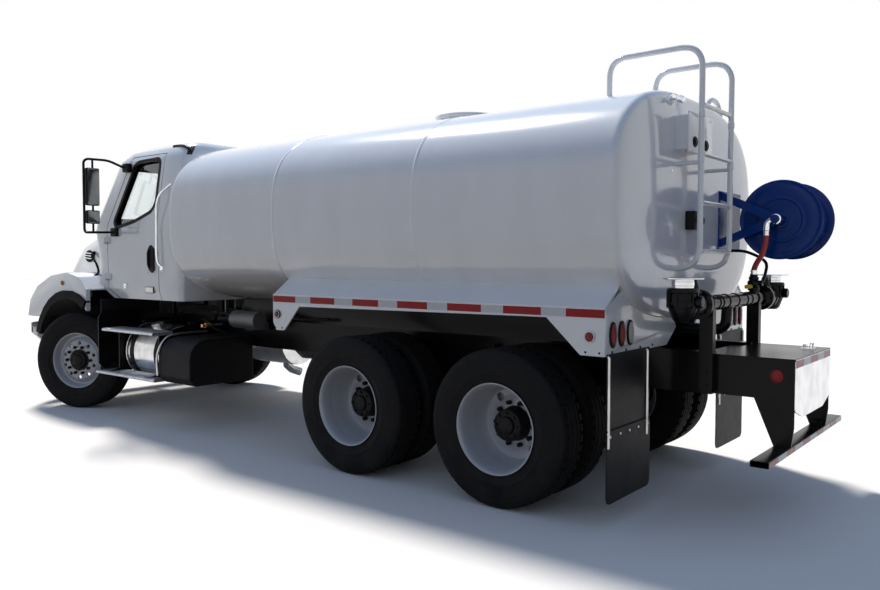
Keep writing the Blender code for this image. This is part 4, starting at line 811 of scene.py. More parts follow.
dressed = {
    # node: look, smooth angle, rounded edge
    "frame": (chassisBlack, 30, 0.003), "bumper": (polishedSteel, 40, 0.006),
    "engine": (castIron, 30, 0.01), "front_axle": (chassisBlack, 40, 0.004),
    "drive_axle_front": (chassisBlack, 40, 0), "drive_axle_rear": (chassisBlack, 40, 0),
    "tandem_suspension": (chassisBlack, 30, 0.004), "driveshaft": (chassisBlack, 40, 0),
    "silencer": (brushedTank, 40, 0), "battery_box": (plasticBlack, 30, 0.012),
    "windscreen": (windowGlass, 40, 0), "rear_window": (windowGlass, 40, 0),
    "dash": (plasticBlack, 30, 0.008), "steering_wheel": (plasticBlack, 50, 0),
    "grille": (polishedSteel, 30, 0), "door_glass_left": (windowGlass, 40, 0),
    "door_glass_right": (windowGlass, 40, 0), "knuckle_left": (chassisBlack, 40, 0),
    "knuckle_right": (chassisBlack, 40, 0), "tie_rod": (chassisBlack, 40, 0),
    "reel_frame": (reelBlue, 40, 0.002),
    "water_pump": (castIron, 40, 0),
}


def copyNode(node):
    bm = bmesh.new()
    bm.from_mesh(nodes[node].data)
    bmesh.ops.remove_doubles(bm, verts=bm.verts, dist=1e-5)
    bmesh.ops.dissolve_limit(bm, angle_limit=math.radians(0.5), verts=bm.verts, edges=bm.edges)
    return bm


def dressNode(node, look, smooth, bevel, choose=None, change=None):
    # choose picks a face's look by its middle, its normal and whether it faces the piece itself
    bm = copyNode(node)
    if change:
        change(bm)
    if choose:
        tree = BVHTree.FromBMesh(bm)
        for face in bm.faces:
            middle = face.calc_center_median()
            enclosed = tree.ray_cast(middle + face.normal * 0.002, face.normal)[0] is not None
            middle.x -= tandemX
            face.material_index = choose(middle, face.normal, enclosed)
    return makePiece(node + "_dressed", bm, look, nodes[node]["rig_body"], node, smooth=smooth, bevel=bevel,
                     recalc=False)


for node, (look, smooth, bevel) in dressed.items():
    dressNode(node, look, smooth, bevel)
stage("carried-over pieces")


# Tank

tankShape = {"halfWidth": 1.205, "top": 2.70, "bottom": 1.21, "power": 2.85, "rear": -1.44, "front": 2.93,
             "dish": 0.07, "sides": 128, "beads": (0.04, 1.51), "beadHeight": 0.003,
             "manhole": 0.45, "collarRadius": 0.26, "collarTop": 2.77, "bolts": 16}
# Each ring of a head: share of the dish, and how far the ring pulls in
headRings = [(0.0, 0.0), (0.12, 0.0008), (0.24, 0.003), (0.36, 0.0075), (0.46, 0.014), (0.54, 0.022),
             (0.60, 0.032), (0.65, 0.045), (0.72, 0.08), (0.80, 0.15), (0.88, 0.27), (0.94, 0.42),
             (0.98, 0.58), (1.0, 0.735)]


def tankRing(s, station, shrink):
    power = 2 / s["power"]
    middle, half = (s["top"] + s["bottom"]) / 2, (s["top"] - s["bottom"]) / 2
    ring = []
    for i in range(s["sides"]):
        angle = 2 * math.pi * (i + 0.5) / s["sides"]
        across = math.copysign(abs(math.cos(angle)) ** power, math.cos(angle))
        up = math.copysign(abs(math.sin(angle)) ** power, math.sin(angle))
        ring.append(at(station, (s["halfWidth"] - shrink) * across, middle + (half - shrink) * up))
    return ring


def addLoft(bm, rings):
    # Closed rings bridged one after the other, and filled at both ends
    loops = []
    for ring in rings:
        corners = [bm.verts.new(place) for place in ring]
        loops.append([bm.edges.new((a, b)) for a, b in zip(corners, corners[1:] + corners[:1])])
    for near, far in zip(loops, loops[1:]):
        bmesh.ops.bridge_loops(bm, edges=near + far)
    for loop in (loops[0], loops[-1]):
        bmesh.ops.edgeloop_fill(bm, edges=loop)
    return [v for loop in loops for v in {v for e in loop for v in e.verts}]


def makeTank(s):
    bm = bmesh.new()
    rings = [(s["rear"] - s["dish"] * share, pull) for share, pull in reversed(headRings)]
    for bead in s["beads"]:
        rings += [(bead + off, -lift * s["beadHeight"]) for off, lift in
                  ((-0.022, 0), (-0.009, 0), (-0.005, 0.7), (0, 1), (0.005, 0.7), (0.009, 0), (0.022, 0))]
    rings.insert(len(headRings), (s["rear"] + 0.015, 0))
    rings.append((s["front"] - 0.015, 0))
    rings += [(s["front"] + s["dish"] * share, pull) for share, pull in headRings]
    addLoft(bm, [tankRing(s, station, pull) for station, pull in rings])
    # Welded collar of the manhole with its bolted flange
    base, radius, top = s["manhole"], s["collarRadius"], s["collarTop"]
    place = Matrix.Translation(at(base, 0, 0))
    addTurned(bm, [(radius - 0.03, s["top"] - 0.05), (radius - 0.012, s["top"] - 0.05),
                   (radius - 0.012, top - 0.018), (radius, top - 0.016), (radius, top), (radius - 0.03, top)],
              place, 64, closed=True)
    bolt = addDrum(bm, at(base + radius - 0.006, 0, top - 0.03), at(base + radius - 0.006, 0, top - 0.014),
                   0.008, segments=6)
    repeatAround(bm, bolt, at(base, 0, 0), (0, 0, 1), s["bolts"])
    makePiece("tankShell", bm, tankPaint, "chassis", "tank", smooth=40)


def makeLid(s):
    radius, base = s["collarRadius"], s["collarTop"] + 0.0005
    bm = bmesh.new()
    addTurned(bm, [(0, base), (0.27, base), (0.2745, base + 0.004), (0.2745, base + 0.010),
                   (0.268, base + 0.0125), (0.24, base + 0.014), (0.20, base + 0.026), (0.14, base + 0.031),
                   (0, base + 0.033)],
              Matrix.Translation(at(s["manhole"], 0, 0)), 72)
    hinge = s["manhole"] + radius + 0.04
    addDrum(bm, at(hinge, -0.05, base + 0.010), at(hinge, 0.05, base + 0.010), 0.010, segments=24)
    addBlock(bm, at(s["manhole"] + radius - 0.01, -0.045, base + 0.002), at(hinge, 0.045, base + 0.018))
    grip = roundedPath([at(s["manhole"] - 0.12, -0.07, base + 0.026),
                        at(s["manhole"] - 0.12, -0.07, base + 0.031),
                        at(s["manhole"] - 0.12, 0.07, base + 0.031),
                        at(s["manhole"] - 0.12, 0.07, base + 0.026)],
                       0.005, 3)
    addPipe(bm, grip, 0.0035)
    makePiece("lidFine", bm, tankPaint, "manhole_lid", "manhole_lid", smooth=35)


makeTank(tankShape)
makeLid(tankShape)
stage("tank")


# Tyres

tyreShape = {"segments": 144, "radius": 0.515, "halfWidth": 0.14, "grooveDepth": 0.012, "notchEvery": 3}


def tyreProfile(s):
    # From one bead over the tread to the other: (radius, height)
    half = [(0.2864, 0.100), (0.2870, 0.1145), (0.2925, 0.1170), (0.3010, 0.1200), (0.3080, 0.1250),
            (0.3120, 0.1245), (0.3300, 0.1315), (0.3550, 0.1368), (0.3600, 0.1392), (0.3650, 0.1376),
            (0.3900, 0.1396), (0.4200, 0.1398), (0.4450, 0.1375), (0.4640, 0.1330), (0.4690, 0.1338),
            (0.4740, 0.1310), (0.4900, 0.1270), (0.5010, 0.1215), (0.5090, 0.1130), (0.5130, 0.1030),
            (0.5138, 0.0760)]
    deep = s["radius"] - s["grooveDepth"]
    tread = [(deep + 0.001, 0.0735), (deep + 0.001, 0.0665), (0.5146, 0.0640), (0.5150, 0.0330),
             (deep + 0.001, 0.0305), (deep + 0.001, 0.0235), (0.5150, 0.0210)]
    side = half + tread
    return side + [(radius, -height) for radius, height in reversed(side)]


def makeTyre(node, place, axis, s):
    matrix = placeAt(place, axis)
    profile = tyreProfile(s)
    bm = bmesh.new()
    addTurned(bm, profile + [(0.2858, -0.095), (0.2858, 0.095)], Matrix.Identity(4), s["segments"],
              closed=True)
    bmesh.ops.recalc_face_normals(bm, faces=bm.faces)
    # Notches across the shoulder ribs, every few segments
    step = 2 * math.pi / s["segments"]
    notched = []
    for face in bm.faces:
        middle = face.calc_center_median()
        if 0.080 < abs(middle.z) < 0.108 and middle.xy.length > 0.505:
            if round((math.atan2(middle.y, middle.x) % (2 * math.pi)) / step - 0.5) % s["notchEvery"] == 0:
                notched.append(face)
    made = bmesh.ops.extrude_discrete_faces(bm, faces=notched)["faces"]
    for face in made:
        middle = face.calc_center_median()
        inward = Vector((-middle.x, -middle.y, 0)).normalized()
        bmesh.ops.translate(bm, vec=inward * s["grooveDepth"] * 0.7, verts=face.verts)
    bmesh.ops.transform(bm, matrix=matrix @ Matrix.Scale(0.994, 4, (0, 0, 1)), verts=bm.verts)
    makePiece(node + "_tread", bm, tyreBlack, nodes[node]["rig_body"], node, smooth=32, recalc=False)


for name, sign in sides:
    for axle in ("front", "rear"):
        for row in ("outer", "inner"):
            node = f"tyre_{axle}_{name}_{row}"
            makeTyre(node, middleOf(node), (0, sign, 0), tyreShape)
    axis = Vector(rollAxis) * sign
    makeTyre(f"tyre_steer_{name}", middleOf(f"tyre_steer_{name}"), axis, tyreShape)
stage("tyres")


# Wheels

wheelShape = {"segments": 96, "studRadius": 0.1427, "studs": 10, "dualSpacing": 0.335, "rimHalf": 0.117,
              "handHoles": 2, "handHoleRadius": 0.030, "handHoleAt": 0.207, "frontHoles": 10,
              "frontHoleRadius": 0.0205, "frontHoleAt": 0.184, "tyreOffset": 0.08}


def addNuts(bm, radius, low, high, count):
    nut = addDrum(bm, (radius, 0, low), (radius, 0, high - 0.008), 0.0165, segments=6)
    nut += addDrum(bm, (radius, 0, high - 0.008), (radius, 0, high), 0.010, 0.0085, segments=12)
    paintFaces(nut, 1)
    repeatAround(bm, nut, (0, 0, 0), (0, 0, 1), count)


def cutHoles(bm, radius, size, low, high, count, start):
    holes = bmesh.new()
    angle = math.radians(start)
    middle = Vector((radius * math.cos(angle), radius * math.sin(angle), 0))
    hole = addDrum(holes, middle + Vector((0, 0, low)), middle + Vector((0, 0, high)), size, segments=24)
    repeatAround(holes, hole, (0, 0, 0), (0, 0, 1), count)
    return cutPiece(bm, [(holes, "DIFFERENCE")])


def makeDual(node, place, axis, s):
    middle = s["dualSpacing"] / 2
    edge = middle + s["rimHalf"]
    disc = [(0.2985, edge + 0.012), (0.2965, edge + 0.0145), (0.2915, edge + 0.0135), (0.2850, edge + 0.007),
            (0.2790, edge - 0.004), (0.2730, edge - 0.022), (0.2690, 0.200), (0.2700, 0.188), (0.2650, 0.176),
            (0.2630, 0.110), (0.2570, 0.070), (0.2480, 0.046), (0.2360, 0.034), (0.2000, 0.030),
            (0.1750, 0.034), (0.1620, 0.041), (0.1180, 0.041), (0.1180, 0.022), (0.1600, 0.022),
            (0.2000, 0.014), (0.2400, 0.014), (0.2640, 0.030), (0.2740, 0.050), (0.2852, 0.056),
            (0.2852, edge)]
    outer = bmesh.new()
    addTurned(outer, disc, Matrix.Identity(4), s["segments"], closed=True)
    outer = cutHoles(outer, s["handHoleAt"], s["handHoleRadius"], -0.02, 0.08, s["handHoles"], 128)
    bm = bmesh.new()
    for turn in (0, math.pi):
        addForm(bm, outer, Matrix.Rotation(turn, 4, "X"))
    outer.free()
    hub = addTurned(bm, [(0, 0.168), (0.050, 0.168), (0.056, 0.165), (0.060, 0.157), (0.062, 0.149),
                         (0.096, 0.147), (0.104, 0.142), (0.107, 0.134), (0.111, 0.060), (0.1165, 0.046),
                         (0.1165, -0.021), (0.165, -0.021), (0.165, -0.150), (0.0735, -0.158),
                         (0.0735, -0.020), (0, -0.020)],
                    Matrix.Identity(4), 48)
    paintFaces(hub, 1)
    bolts = addDrum(bm, (0.083, 0, 0.147), (0.083, 0, 0.160), 0.0095, segments=6)
    paintFaces(bolts, 1)
    repeatAround(bm, bolts, (0, 0, 0), (0, 0, 1), 8)
    addNuts(bm, s["studRadius"], 0.0405, 0.080, s["studs"])
    finishWheel(node, bm, place, axis)


def makeSteered(node, place, axis, s):
    # Heights run outward from the kingpin
    base, edge = s["tyreOffset"], s["tyreOffset"] + s["rimHalf"]
    disc = [(0.2985, edge + 0.012), (0.2965, edge + 0.0145), (0.2915, edge + 0.0135), (0.2850, edge + 0.007),
            (0.2790, edge - 0.004), (0.2730, edge - 0.022), (0.2700, base + 0.070), (0.2630, base + 0.050),
            (0.2500, base + 0.046), (0.2360, base + 0.056), (0.2180, base + 0.076), (0.2050, base + 0.084),
            (0.1600, base + 0.088), (0.1180, base + 0.088), (0.1180, base + 0.070), (0.1600, base + 0.070),
            (0.2000, base + 0.064), (0.2300, base + 0.040), (0.2640, base + 0.020), (0.2760, base - 0.030),
            (0.2760, base - s["rimHalf"] + 0.02), (0.2915, base - s["rimHalf"] - 0.0135),
            (0.2985, base - s["rimHalf"] - 0.012), (0.2852, base - s["rimHalf"]), (0.2852, edge)]
    bm = bmesh.new()
    addTurned(bm, disc, Matrix.Identity(4), s["segments"], closed=True)
    bm = cutHoles(bm, s["frontHoleAt"], s["frontHoleRadius"], 0, 0.3, s["frontHoles"], 18)
    hub = addTurned(bm, [(0, base + 0.134), (0.048, base + 0.133), (0.056, base + 0.128),
                         (0.060, base + 0.116), (0.082, base + 0.113), (0.090, base + 0.106),
                         (0.094, base + 0.089), (0.1165, base + 0.087), (0.1165, base + 0.050),
                         (0.0425, base + 0.030), (0.0425, base + 0.109), (0, base + 0.109)],
                    Matrix.Identity(4), 48)
    paintFaces(hub, 1)
    bolts = addDrum(bm, (0.071, 0, base + 0.114), (0.071, 0, base + 0.124), 0.008, segments=6)
    paintFaces(bolts, 1)
    repeatAround(bm, bolts, (0, 0, 0), (0, 0, 1), 6)
    addNuts(bm, s["studRadius"], base + 0.0875, base + 0.122, s["studs"])
    finishWheel(node, bm, place, axis)


def finishWheel(node, bm, place, axis):
    up = Vector((0, 0, 1))
    out = Vector(axis).normalized()
    ahead = up.cross(out)
    matrix = Matrix.Translation(place) @ Matrix((ahead, up, out)).transposed().to_4x4()
    bmesh.ops.transform(bm, matrix=matrix, verts=bm.verts)
    makePiece(node + "_fine", bm, [wheelGrey, hubBlack], nodes[node]["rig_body"], node, smooth=32)


for name, sign in sides:
    for axle, middle in (("front", frontDual), ("rear", rearDual)):
        node = f"wheels_{axle}_{name}"
        makeDual(node, (middle.x, sign * 0.9205, axleZ), (0, sign, 0), wheelShape)
    makeSteered(f"wheel_steer_{name}", (kingpin.x, sign * kingpin.y, axleZ), Vector(rollAxis) * sign,
                wheelShape)
stage("wheels")


# Cab and doors

# Height, rear station, front station, half width
cabLevels = [(1.20, 3.10, 4.36, 0.98), (1.30, 3.08, 4.52, 1.01), (1.90, 3.05, 4.65, 1.02),
             (1.98, 3.05, 4.63, 1.015), (2.60, 3.07, 4.33, 0.915), (2.69, 3.10, 4.21, 0.86),
             (2.74, 3.17, 4.04, 0.77)]


def cabAt(z):
    for (z0, *low), (z1, *high) in zip(cabLevels, cabLevels[1:]):
        if z0 <= z <= z1:
            share = (z - z0) / (z1 - z0)
            return [a + (b - a) * share for a, b in zip(low, high)]
    return cabLevels[0][1:] if z < cabLevels[0][0] else cabLevels[-1][1:]


def insideCab(middle, normal, enclosed):
    # 1 on the inner skin of the walls, 2 on the mouldings round the door windows and the handle
    rear, front, half = cabAt(middle.z)
    inner = abs(middle.y) < half - 0.03 and rear + 0.03 < middle.x < front - 0.03 and 1.21 < middle.z < 2.70
    if 3.49 < middle.x < 3.59 and 1.46 < middle.z < 1.74 and abs(middle.y) > 1.0215:
        return 2
    return 1 if inner else 0


def doorFaces(middle, normal, enclosed):
    half = cabAt(middle.z)[2]
    if 3.495 < middle.x < 3.585 and 1.465 < middle.z < 1.735 and abs(middle.y) > half + 0.002:
        return 2
    edge = 2.61 > middle.z > 1.91 and 3.50 < middle.x < 4.25 and half - 0.075 < abs(middle.y) < half - 0.001
    if edge and abs(normal.y) < 0.9:
        return 2
    return 1 if abs(middle.y) < half - 0.02 else 0


def withoutRails(bm):
    # The plain grab rails come off and their feet are closed; round ones follow in cabTrim
    rails = []
    for face in bm.faces:
        middle = face.calc_center_median()
        half = cabAt(middle.z)[2]
        if middle.x - tandemX < 3.28 and 1.45 < middle.z < 2.38 and abs(middle.y) > half + 0.002:
            rails.append(face)
    bmesh.ops.delete(bm, geom=rails, context="FACES")
    bmesh.ops.holes_fill(bm, edges=[e for e in bm.edges if e.is_boundary], sides=0)


dressNode("cab", [whitePaint, trimGrey, sealBlack], 32, 0.004, insideCab, withoutRails)
windowOutline = [(4.20, 1.92), (4.245, 1.99), (3.985, 2.56), (3.92, 2.59), (3.56, 2.60), (3.52, 2.56),
                 (3.51, 2.16), (3.57, 2.07), (3.85, 1.98)]
windscreenShape = {"half": 0.86, "base": 2.02, "top": 2.56, "taper": 0.10}
sealShape = {"outside": 0.014, "inside": 0.020, "proud": 0.004, "deep": 0.020}


def addCab(bm, inset):
    rings = []
    for z, rear, front, half in cabLevels:
        rings.append([at(x, y, z) for x, y in roundedBox(rear + inset, front - inset, half - inset,
                                                         0.09 - inset)])
    addLoft(bm, rings)


def roundedBox(x0, x1, half, radius):
    outline, steps = [], 5
    for cx, cy, start in ((x1 - radius, half - radius, 0), (x0 + radius, half - radius, 90),
                          (x0 + radius, -half + radius, 180), (x1 - radius, -half + radius, 270)):
        for i in range(steps + 1):
            angle = math.radians(start + 90 * i / steps)
            outline.append((cx + radius * math.cos(angle), cy + radius * math.sin(angle)))
    return outline


def offsetOutline(outline, margin):
    # Moves each side of a closed outline outward by the margin
    area = sum(a[0] * b[1] - b[0] * a[1] for a, b in zip(outline, outline[1:] + outline[:1]))
    turn = 1 if area > 0 else -1
    moved = []
    for i, corner in enumerate(outline):
        before, after = Vector(outline[i - 1]), Vector(outline[(i + 1) % len(outline)])
        here = Vector(corner)
        first, second = (here - before).normalized(), (after - here).normalized()
        normal = Vector((first.y + second.y, -first.x - second.x)).normalized() * turn
        lean = max(0.5, normal.dot(Vector((first.y, -first.x)) * turn))
        moved.append(tuple(here + normal * margin / lean))
    return moved


def roundOutline(outline, radius, steps=4):
    # Rounds the corners of a closed outline
    corners = [Vector(corner) for corner in outline]
    result = []
    for a, b, c in zip(corners[-1:] + corners[:-1], corners, corners[1:] + corners[:1]):
        result += [tuple(point) for point in cornerArc(a, b, c, radius, steps)]
    return result


def sealRing(outline, place, push):
    # A band round an outline: its outer block, and the hole to cut from it
    outer, hole = bmesh.new(), bmesh.new()
    addSlab(outer, [place(*p) for p in roundOutline(offsetOutline(outline, sealShape["outside"]), 0.05)],
            push)
    addSlab(hole, [place(*p) for p in roundOutline(offsetOutline(outline, -sealShape["inside"]), 0.04)], push)
    return outer, hole


def makeSeal(name, outline, place, push, body):
    outer, hole = sealRing(outline, place, push)
    skin, core = bmesh.new(), bmesh.new()
    addCab(skin, -sealShape["proud"])
    addCab(core, sealShape["deep"])
    band = cutPiece(outer, [(hole, "DIFFERENCE"), (skin, "INTERSECT"), (core, "DIFFERENCE")])
    makePiece(name, band, sealBlack, body, smooth=30)


for name, sign in sides:
    dressNode("door_" + name, [whitePaint, trimGrey, sealBlack], 32, 0.003, doorFaces)
    makeSeal("windowSeal_" + name, windowOutline, lambda x, z: at(x, sign * 0.70, z), (0, sign * 0.5, 0),
             "door_" + name)
w = windscreenShape
glassOutline = [(-w["half"], w["base"]), (w["half"], w["base"]), (w["half"] - w["taper"], w["top"]),
                (-w["half"] + w["taper"], w["top"])]
makeSeal("windscreenSeal", glassOutline, lambda y, z: at(4.10, y, z), (0.7, 0, 0), "chassis")


def makeDoorTrim(name, sign):
    # Pull handle, moulding strip, fuel cap, marker plate and the seam above the step
    side = 1.0205
    bm = bmesh.new()
    black = addBall(bm, at(3.562, sign * 1.019, 1.610), 1.0, (0.066, 0.024, 0.132), 32)
    black += addPipe(bm, roundedPath([at(3.562, sign * 1.034, 1.52), at(3.562, sign * 1.052, 1.545),
                                      at(3.562, sign * 1.052, 1.675), at(3.562, sign * 1.034, 1.70)], 0.02,
                                     4), 0.010)
    paintFaces(black, 0)
    strip = addBlock(bm, at(3.62, sign * (side - 0.006), 1.468), at(3.97, sign * (side + 0.003), 1.476))
    plate = addBlock(bm, at(3.53, sign * (side - 0.012), 1.275), at(3.66, sign * (side + 0.002), 1.325))
    rim = addBlock(bm, at(3.525, sign * (side - 0.012), 1.270), at(3.665, sign * (side + 0.0005), 1.330))
    paintFaces(strip, 1)
    paintFaces(plate, 2)
    paintFaces(rim, 0)
    makePiece("doorTrim_" + name, bm, [sealBlack, whitePaint, zincSteel], "door_" + name, smooth=40)
    cap = bmesh.new()
    lock = addTurned(cap, [(0, 0.012), (0.010, 0.012), (0.012, 0.006), (0.026, 0.006), (0.028, 0.0),
                           (0.028, -0.01), (0, -0.01)],
                     placeAt(at(4.03, sign * side, 1.33), (0, sign, 0)), 32)
    paintFaces(lock, 0)
    makePiece("doorCap_" + name, cap, polishedSteel, "door_" + name, smooth=40)


def makeCabTrim():
    bm = bmesh.new()
    for sign in (1, -1):
        # Long grab rail behind each door, carried at its two ends
        rail = [at(3.375, sign * 1.005, 1.515), at(3.395, sign * 1.048, 1.56), at(3.410, sign * 1.052, 1.64),
                at(3.405, sign * 1.050, 2.14), at(3.375, sign * 1.028, 2.24), at(3.30, sign * 0.955, 2.33)]
        chrome = addPipe(bm, roundedPath(rail, 0.05, 6), 0.0120, 4)
        chrome += addDrum(bm, at(3.375, sign * 1.008, 1.515), at(3.375, sign * 1.024, 1.517), 0.024,
                          segments=24)
        paintFaces(chrome, 0)
        # Rubber strip over the roof's rear corner
        arc = smoothPath([at(3.43, sign * 0.832, 2.712), at(3.30, sign * 0.845, 2.706),
                          at(3.20, sign * 0.864, 2.690), at(3.135, sign * 0.862, 2.655),
                          at(3.105, sign * 0.855, 2.60), at(3.09, sign * 0.85, 2.55)],
                         0.02)
        paintFaces(addPipe(bm, arc, 0.0135, 3), 1)
    lamps = []
    for y in (-0.55, -0.18, 0, 0.18, 0.55):
        lamps += addBall(bm, at(4.10, y, 2.733), 1.0, (0.055, 0.032, 0.024), 20)
    paintFaces(lamps, 2)
    makePiece("cabTrim", bm, [polishedSteel, sealBlack, amberLens], "chassis", smooth=40)


for name, sign in sides:
    makeDoorTrim(name, sign)
makeCabTrim()


# Mirrors

mirrorShape = {"station": 4.28, "outer": 1.31, "tube": 0.0125, "heads": ((2.145, 2.525), (1.962, 2.098))}


def makeMirror(name, sign, s):
    x, outer = s["station"], s["outer"]
    bm = bmesh.new()
    path = [at(4.20, sign * 1.02, 1.88), at(x - 0.02, sign * outer, 1.872), at(x, sign * outer, 1.90),
            at(x, sign * outer, 2.585), at(x - 0.01, sign * (outer - 0.03), 2.612),
            at(x - 0.09, sign * 1.10, 2.606), at(4.075, sign * 0.95, 2.52)]
    addPipe(bm, roundedPath(path, 0.05, 6), s["tube"], 4)
    post = sign * (outer - 0.09)
    addPipe(bm, [at(x - 0.005, post, 1.875), at(x - 0.005, post, 2.608)], 0.0105, 4)
    for foot, far in (((4.20, 1.012, 1.88), (4.215, 1.045, 1.88)),
                      ((4.075, 0.930, 2.535), (4.09, 0.975, 2.53))):
        fx, fy, fz = foot
        shoe = addBlock(bm, at(fx - 0.055, sign * fy, fz - 0.045),
                        at(fx + 0.055, sign * (far[1] + 0.01), fz + 0.045))
        roundEdges(bm, edgesOf(shoe), 0.014, 3)
    for low, high in s["heads"]:
        case = addBlock(bm, at(x - 0.030, sign * (outer - 0.155), low),
                        at(x + 0.030, sign * (outer - 0.020), high))
        roundEdges(bm, edgesOf(case), 0.016, 4)
    paintFaces(list(bm.verts), 0)
    for low, high in s["heads"]:
        glass = addBlock(bm, at(x - 0.0325, sign * (outer - 0.145), low + 0.012),
                         at(x - 0.0285, sign * (outer - 0.030), high - 0.012))
        corner = [e for e in {e for v in glass for e in v.link_edges}
                  if abs(e.verts[0].co.x - e.verts[1].co.x) > 0.003]
        roundEdges(bm, corner, 0.012, 4)
    fresh = [f for f in bm.faces if all(v.co.x < tandemX + x - 0.028 for v in f.verts)
             and all(v.co.x > tandemX + x - 0.033 for v in f.verts)]
    for face in fresh:
        face.material_index = 1
    makePiece("mirrorFine_" + name, bm, [plasticBlack, mirrorGlass], "door_" + name, "mirror_" + name,
              smooth=35)


for name, sign in sides:
    makeMirror(name, sign, mirrorShape)
stage("cab, doors and mirrors")


# Hood, lamps and bumper

hoodShape = {"axle": 4.92, "axleZ": 0.515, "liner": 0.674, "linerAngles": (18, 131, 4),
             "linerWidth": (0.50, 1.135), "marker": (5.04, 1.170, 1.345), "intake": (5.19, 0.781, 1.638),
             "intakeLean": 11, "bars": 3}


def hoodFaces(middle, normal, enclosed):
    # 1 on the black flares, inside the arches and inside the hood
    reach = math.hypot(middle.x - hoodShape["axle"], middle.z - hoodShape["axleZ"])
    if abs(middle.y) > 1.1725 or (abs(middle.y) > 1.12 and reach < 0.7645 and abs(normal.y) < 0.9):
        return 1
    if 1.165 < abs(middle.y) < 1.1725 and abs(normal.y) > 0.9:
        return 0
    if enclosed or (reach < 0.68 and middle.z < 1.2) or (normal.x < -0.5 and middle.x > 5.3):
        return 1
    if abs(middle.y) < 0.34 and middle.z < 1.0 and middle.x > 5.85:
        return 1
    return 0


dressNode("hood", [whitePaint, archBlack], 35, 0.006, hoodFaces)


def makeHoodTrim(s):
    bm = bmesh.new()
    for sign in (1, -1):
        lens = addBlock(bm, at(5.872, sign * 0.665, 1.012), at(5.892, sign * 0.948, 1.158))
        roundEdges(bm, edgesOf(lens), 0.006, 3)
    paintFaces(list(bm.verts), 0)
    for sign in (1, -1):
        # Amber marker on the fender, black bonnet strap and the side intake with its bars
        station, y, z = s["marker"]
        marker = addTurned(bm, [(0, 0.016), (0.018, 0.014), (0.026, 0.006), (0.028, 0), (0.028, -0.02),
                                (0, -0.02)],
                           placeAt(at(station, sign * y, z), (0, sign, 0)), 32)
        paintFaces(marker, 1)
        # Black inner liner of the wheel arch
        liner = []
        inner, outer = s["linerWidth"]
        angles = [math.radians(angle) for angle in range(*s["linerAngles"])]
        arc = [(s["axle"] + s["liner"] * math.cos(a), s["axleZ"] + s["liner"] * math.sin(a)) for a in angles]
        for (x0, z0), (x1, z1) in zip(arc, arc[1:]):
            liner += addSlab(bm, [at(x0, sign * inner, z0), at(x1, sign * inner, z1),
                                  at(x1, sign * outer, z1), at(x0, sign * outer, z0)], (0, 0, 0.003))
        liner += addBlock(bm, at(4.72, sign * 0.452, 1.02), at(5.75, sign * 0.460, 1.30))
        paintFaces(liner, 2)
        strap = addPipe(bm, smoothPath([at(5.00, sign * 0.828, 1.665), at(4.95, sign * 0.860, 1.610),
                                        at(4.86, sign * 0.872, 1.535), at(4.80, sign * 0.890, 1.460),
                                        at(4.76, sign * 0.950, 1.425)], 0.015), 0.0125, 3)
        strap += addBall(bm, at(5.00, sign * 0.828, 1.672), 0.022, segments=16)
        paintFaces(strap, 2)
        lean = Matrix.Rotation(-sign * math.radians(s["intakeLean"]), 4, "Z")
        mouth = addBall(bm, (0, 0, 0), 1.0, (0.140, 0.024, 0.070), 32)
        bars = []
        for k in range(s["bars"]):
            z = -0.028 + 0.028 * k
            bars += addPipe(bm, smoothPath([(-0.118, sign * 0.016, z), (-0.06, sign * 0.028, z + 0.004),
                                            (0.06, sign * 0.028, z + 0.010),
                                            (0.118, sign * 0.016, z + 0.012)], 0.03),
                            0.0065, 3)
        station, y, z = s["intake"]
        spot = Matrix.Translation(at(station, sign * y, z))
        bmesh.ops.transform(bm, matrix=spot @ lean, verts=mouth + bars)
        paintFaces(mouth, 2)
        paintFaces(bars, 3)
    makePiece("hoodTrim", bm, [clearLens, amberLens, archBlack, polishedSteel], "hood", smooth=40)


makeHoodTrim(hoodShape)
dressNode("bumper", polishedSteel, 40, 0.006)
stage("hood and bumper")


# Steps, fuel tank and boxes under the cab

stepShape = {"treads": ((3.26, 4.17, 0.905), (3.24, 4.30, 0.465)), "inner": 0.98, "outer": 1.19,
             "toothPitch": 0.026, "rows": 4}


def stepFaces(middle, normal, enclosed):
    endStrip = 3.35 < middle.x < 3.372 or 4.07 < middle.x < 4.092
    between = 0.50 < middle.z < 0.87
    return 1 if middle.y and abs(middle.y) < 0.975 or endStrip and between else 0


def makeTreads(name, sign, s):
    bm = bmesh.new()
    width = (s["outer"] - s["inner"]) / s["rows"]
    for rear, front, top in s["treads"]:
        count = int((front - rear - 0.02) / s["toothPitch"])
        for row in range(s["rows"]):
            y0 = s["inner"] + row * width + 0.006
            for k in range(count):
                x = rear + 0.015 + k * s["toothPitch"]
                addSlab(bm, [at(x, sign * y0, top - 0.001), at(x + 0.010, sign * y0, top + 0.0065),
                             at(x + 0.018, sign * y0, top - 0.001)], (0, sign * (width - 0.012), 0))
        addPipe(bm, [at(rear, sign * (s["outer"] + 0.0005), top - 0.015),
                     at(front, sign * (s["outer"] + 0.0005),
                        top - 0.015)], 0.015, 3)
    makePiece("treads_" + name, bm, treadPlate, "chassis", smooth=20)


for name, sign in sides:
    dressNode("steps_" + name, [treadPlate, chassisBlack], 30, 0.002, stepFaces)
    makeTreads(name, sign, stepShape)

tankBarrel = {"y": 0.74, "z": 0.66, "rear": 3.385, "front": 4.06, "radius": 0.28, "straps": (3.50, 3.93)}


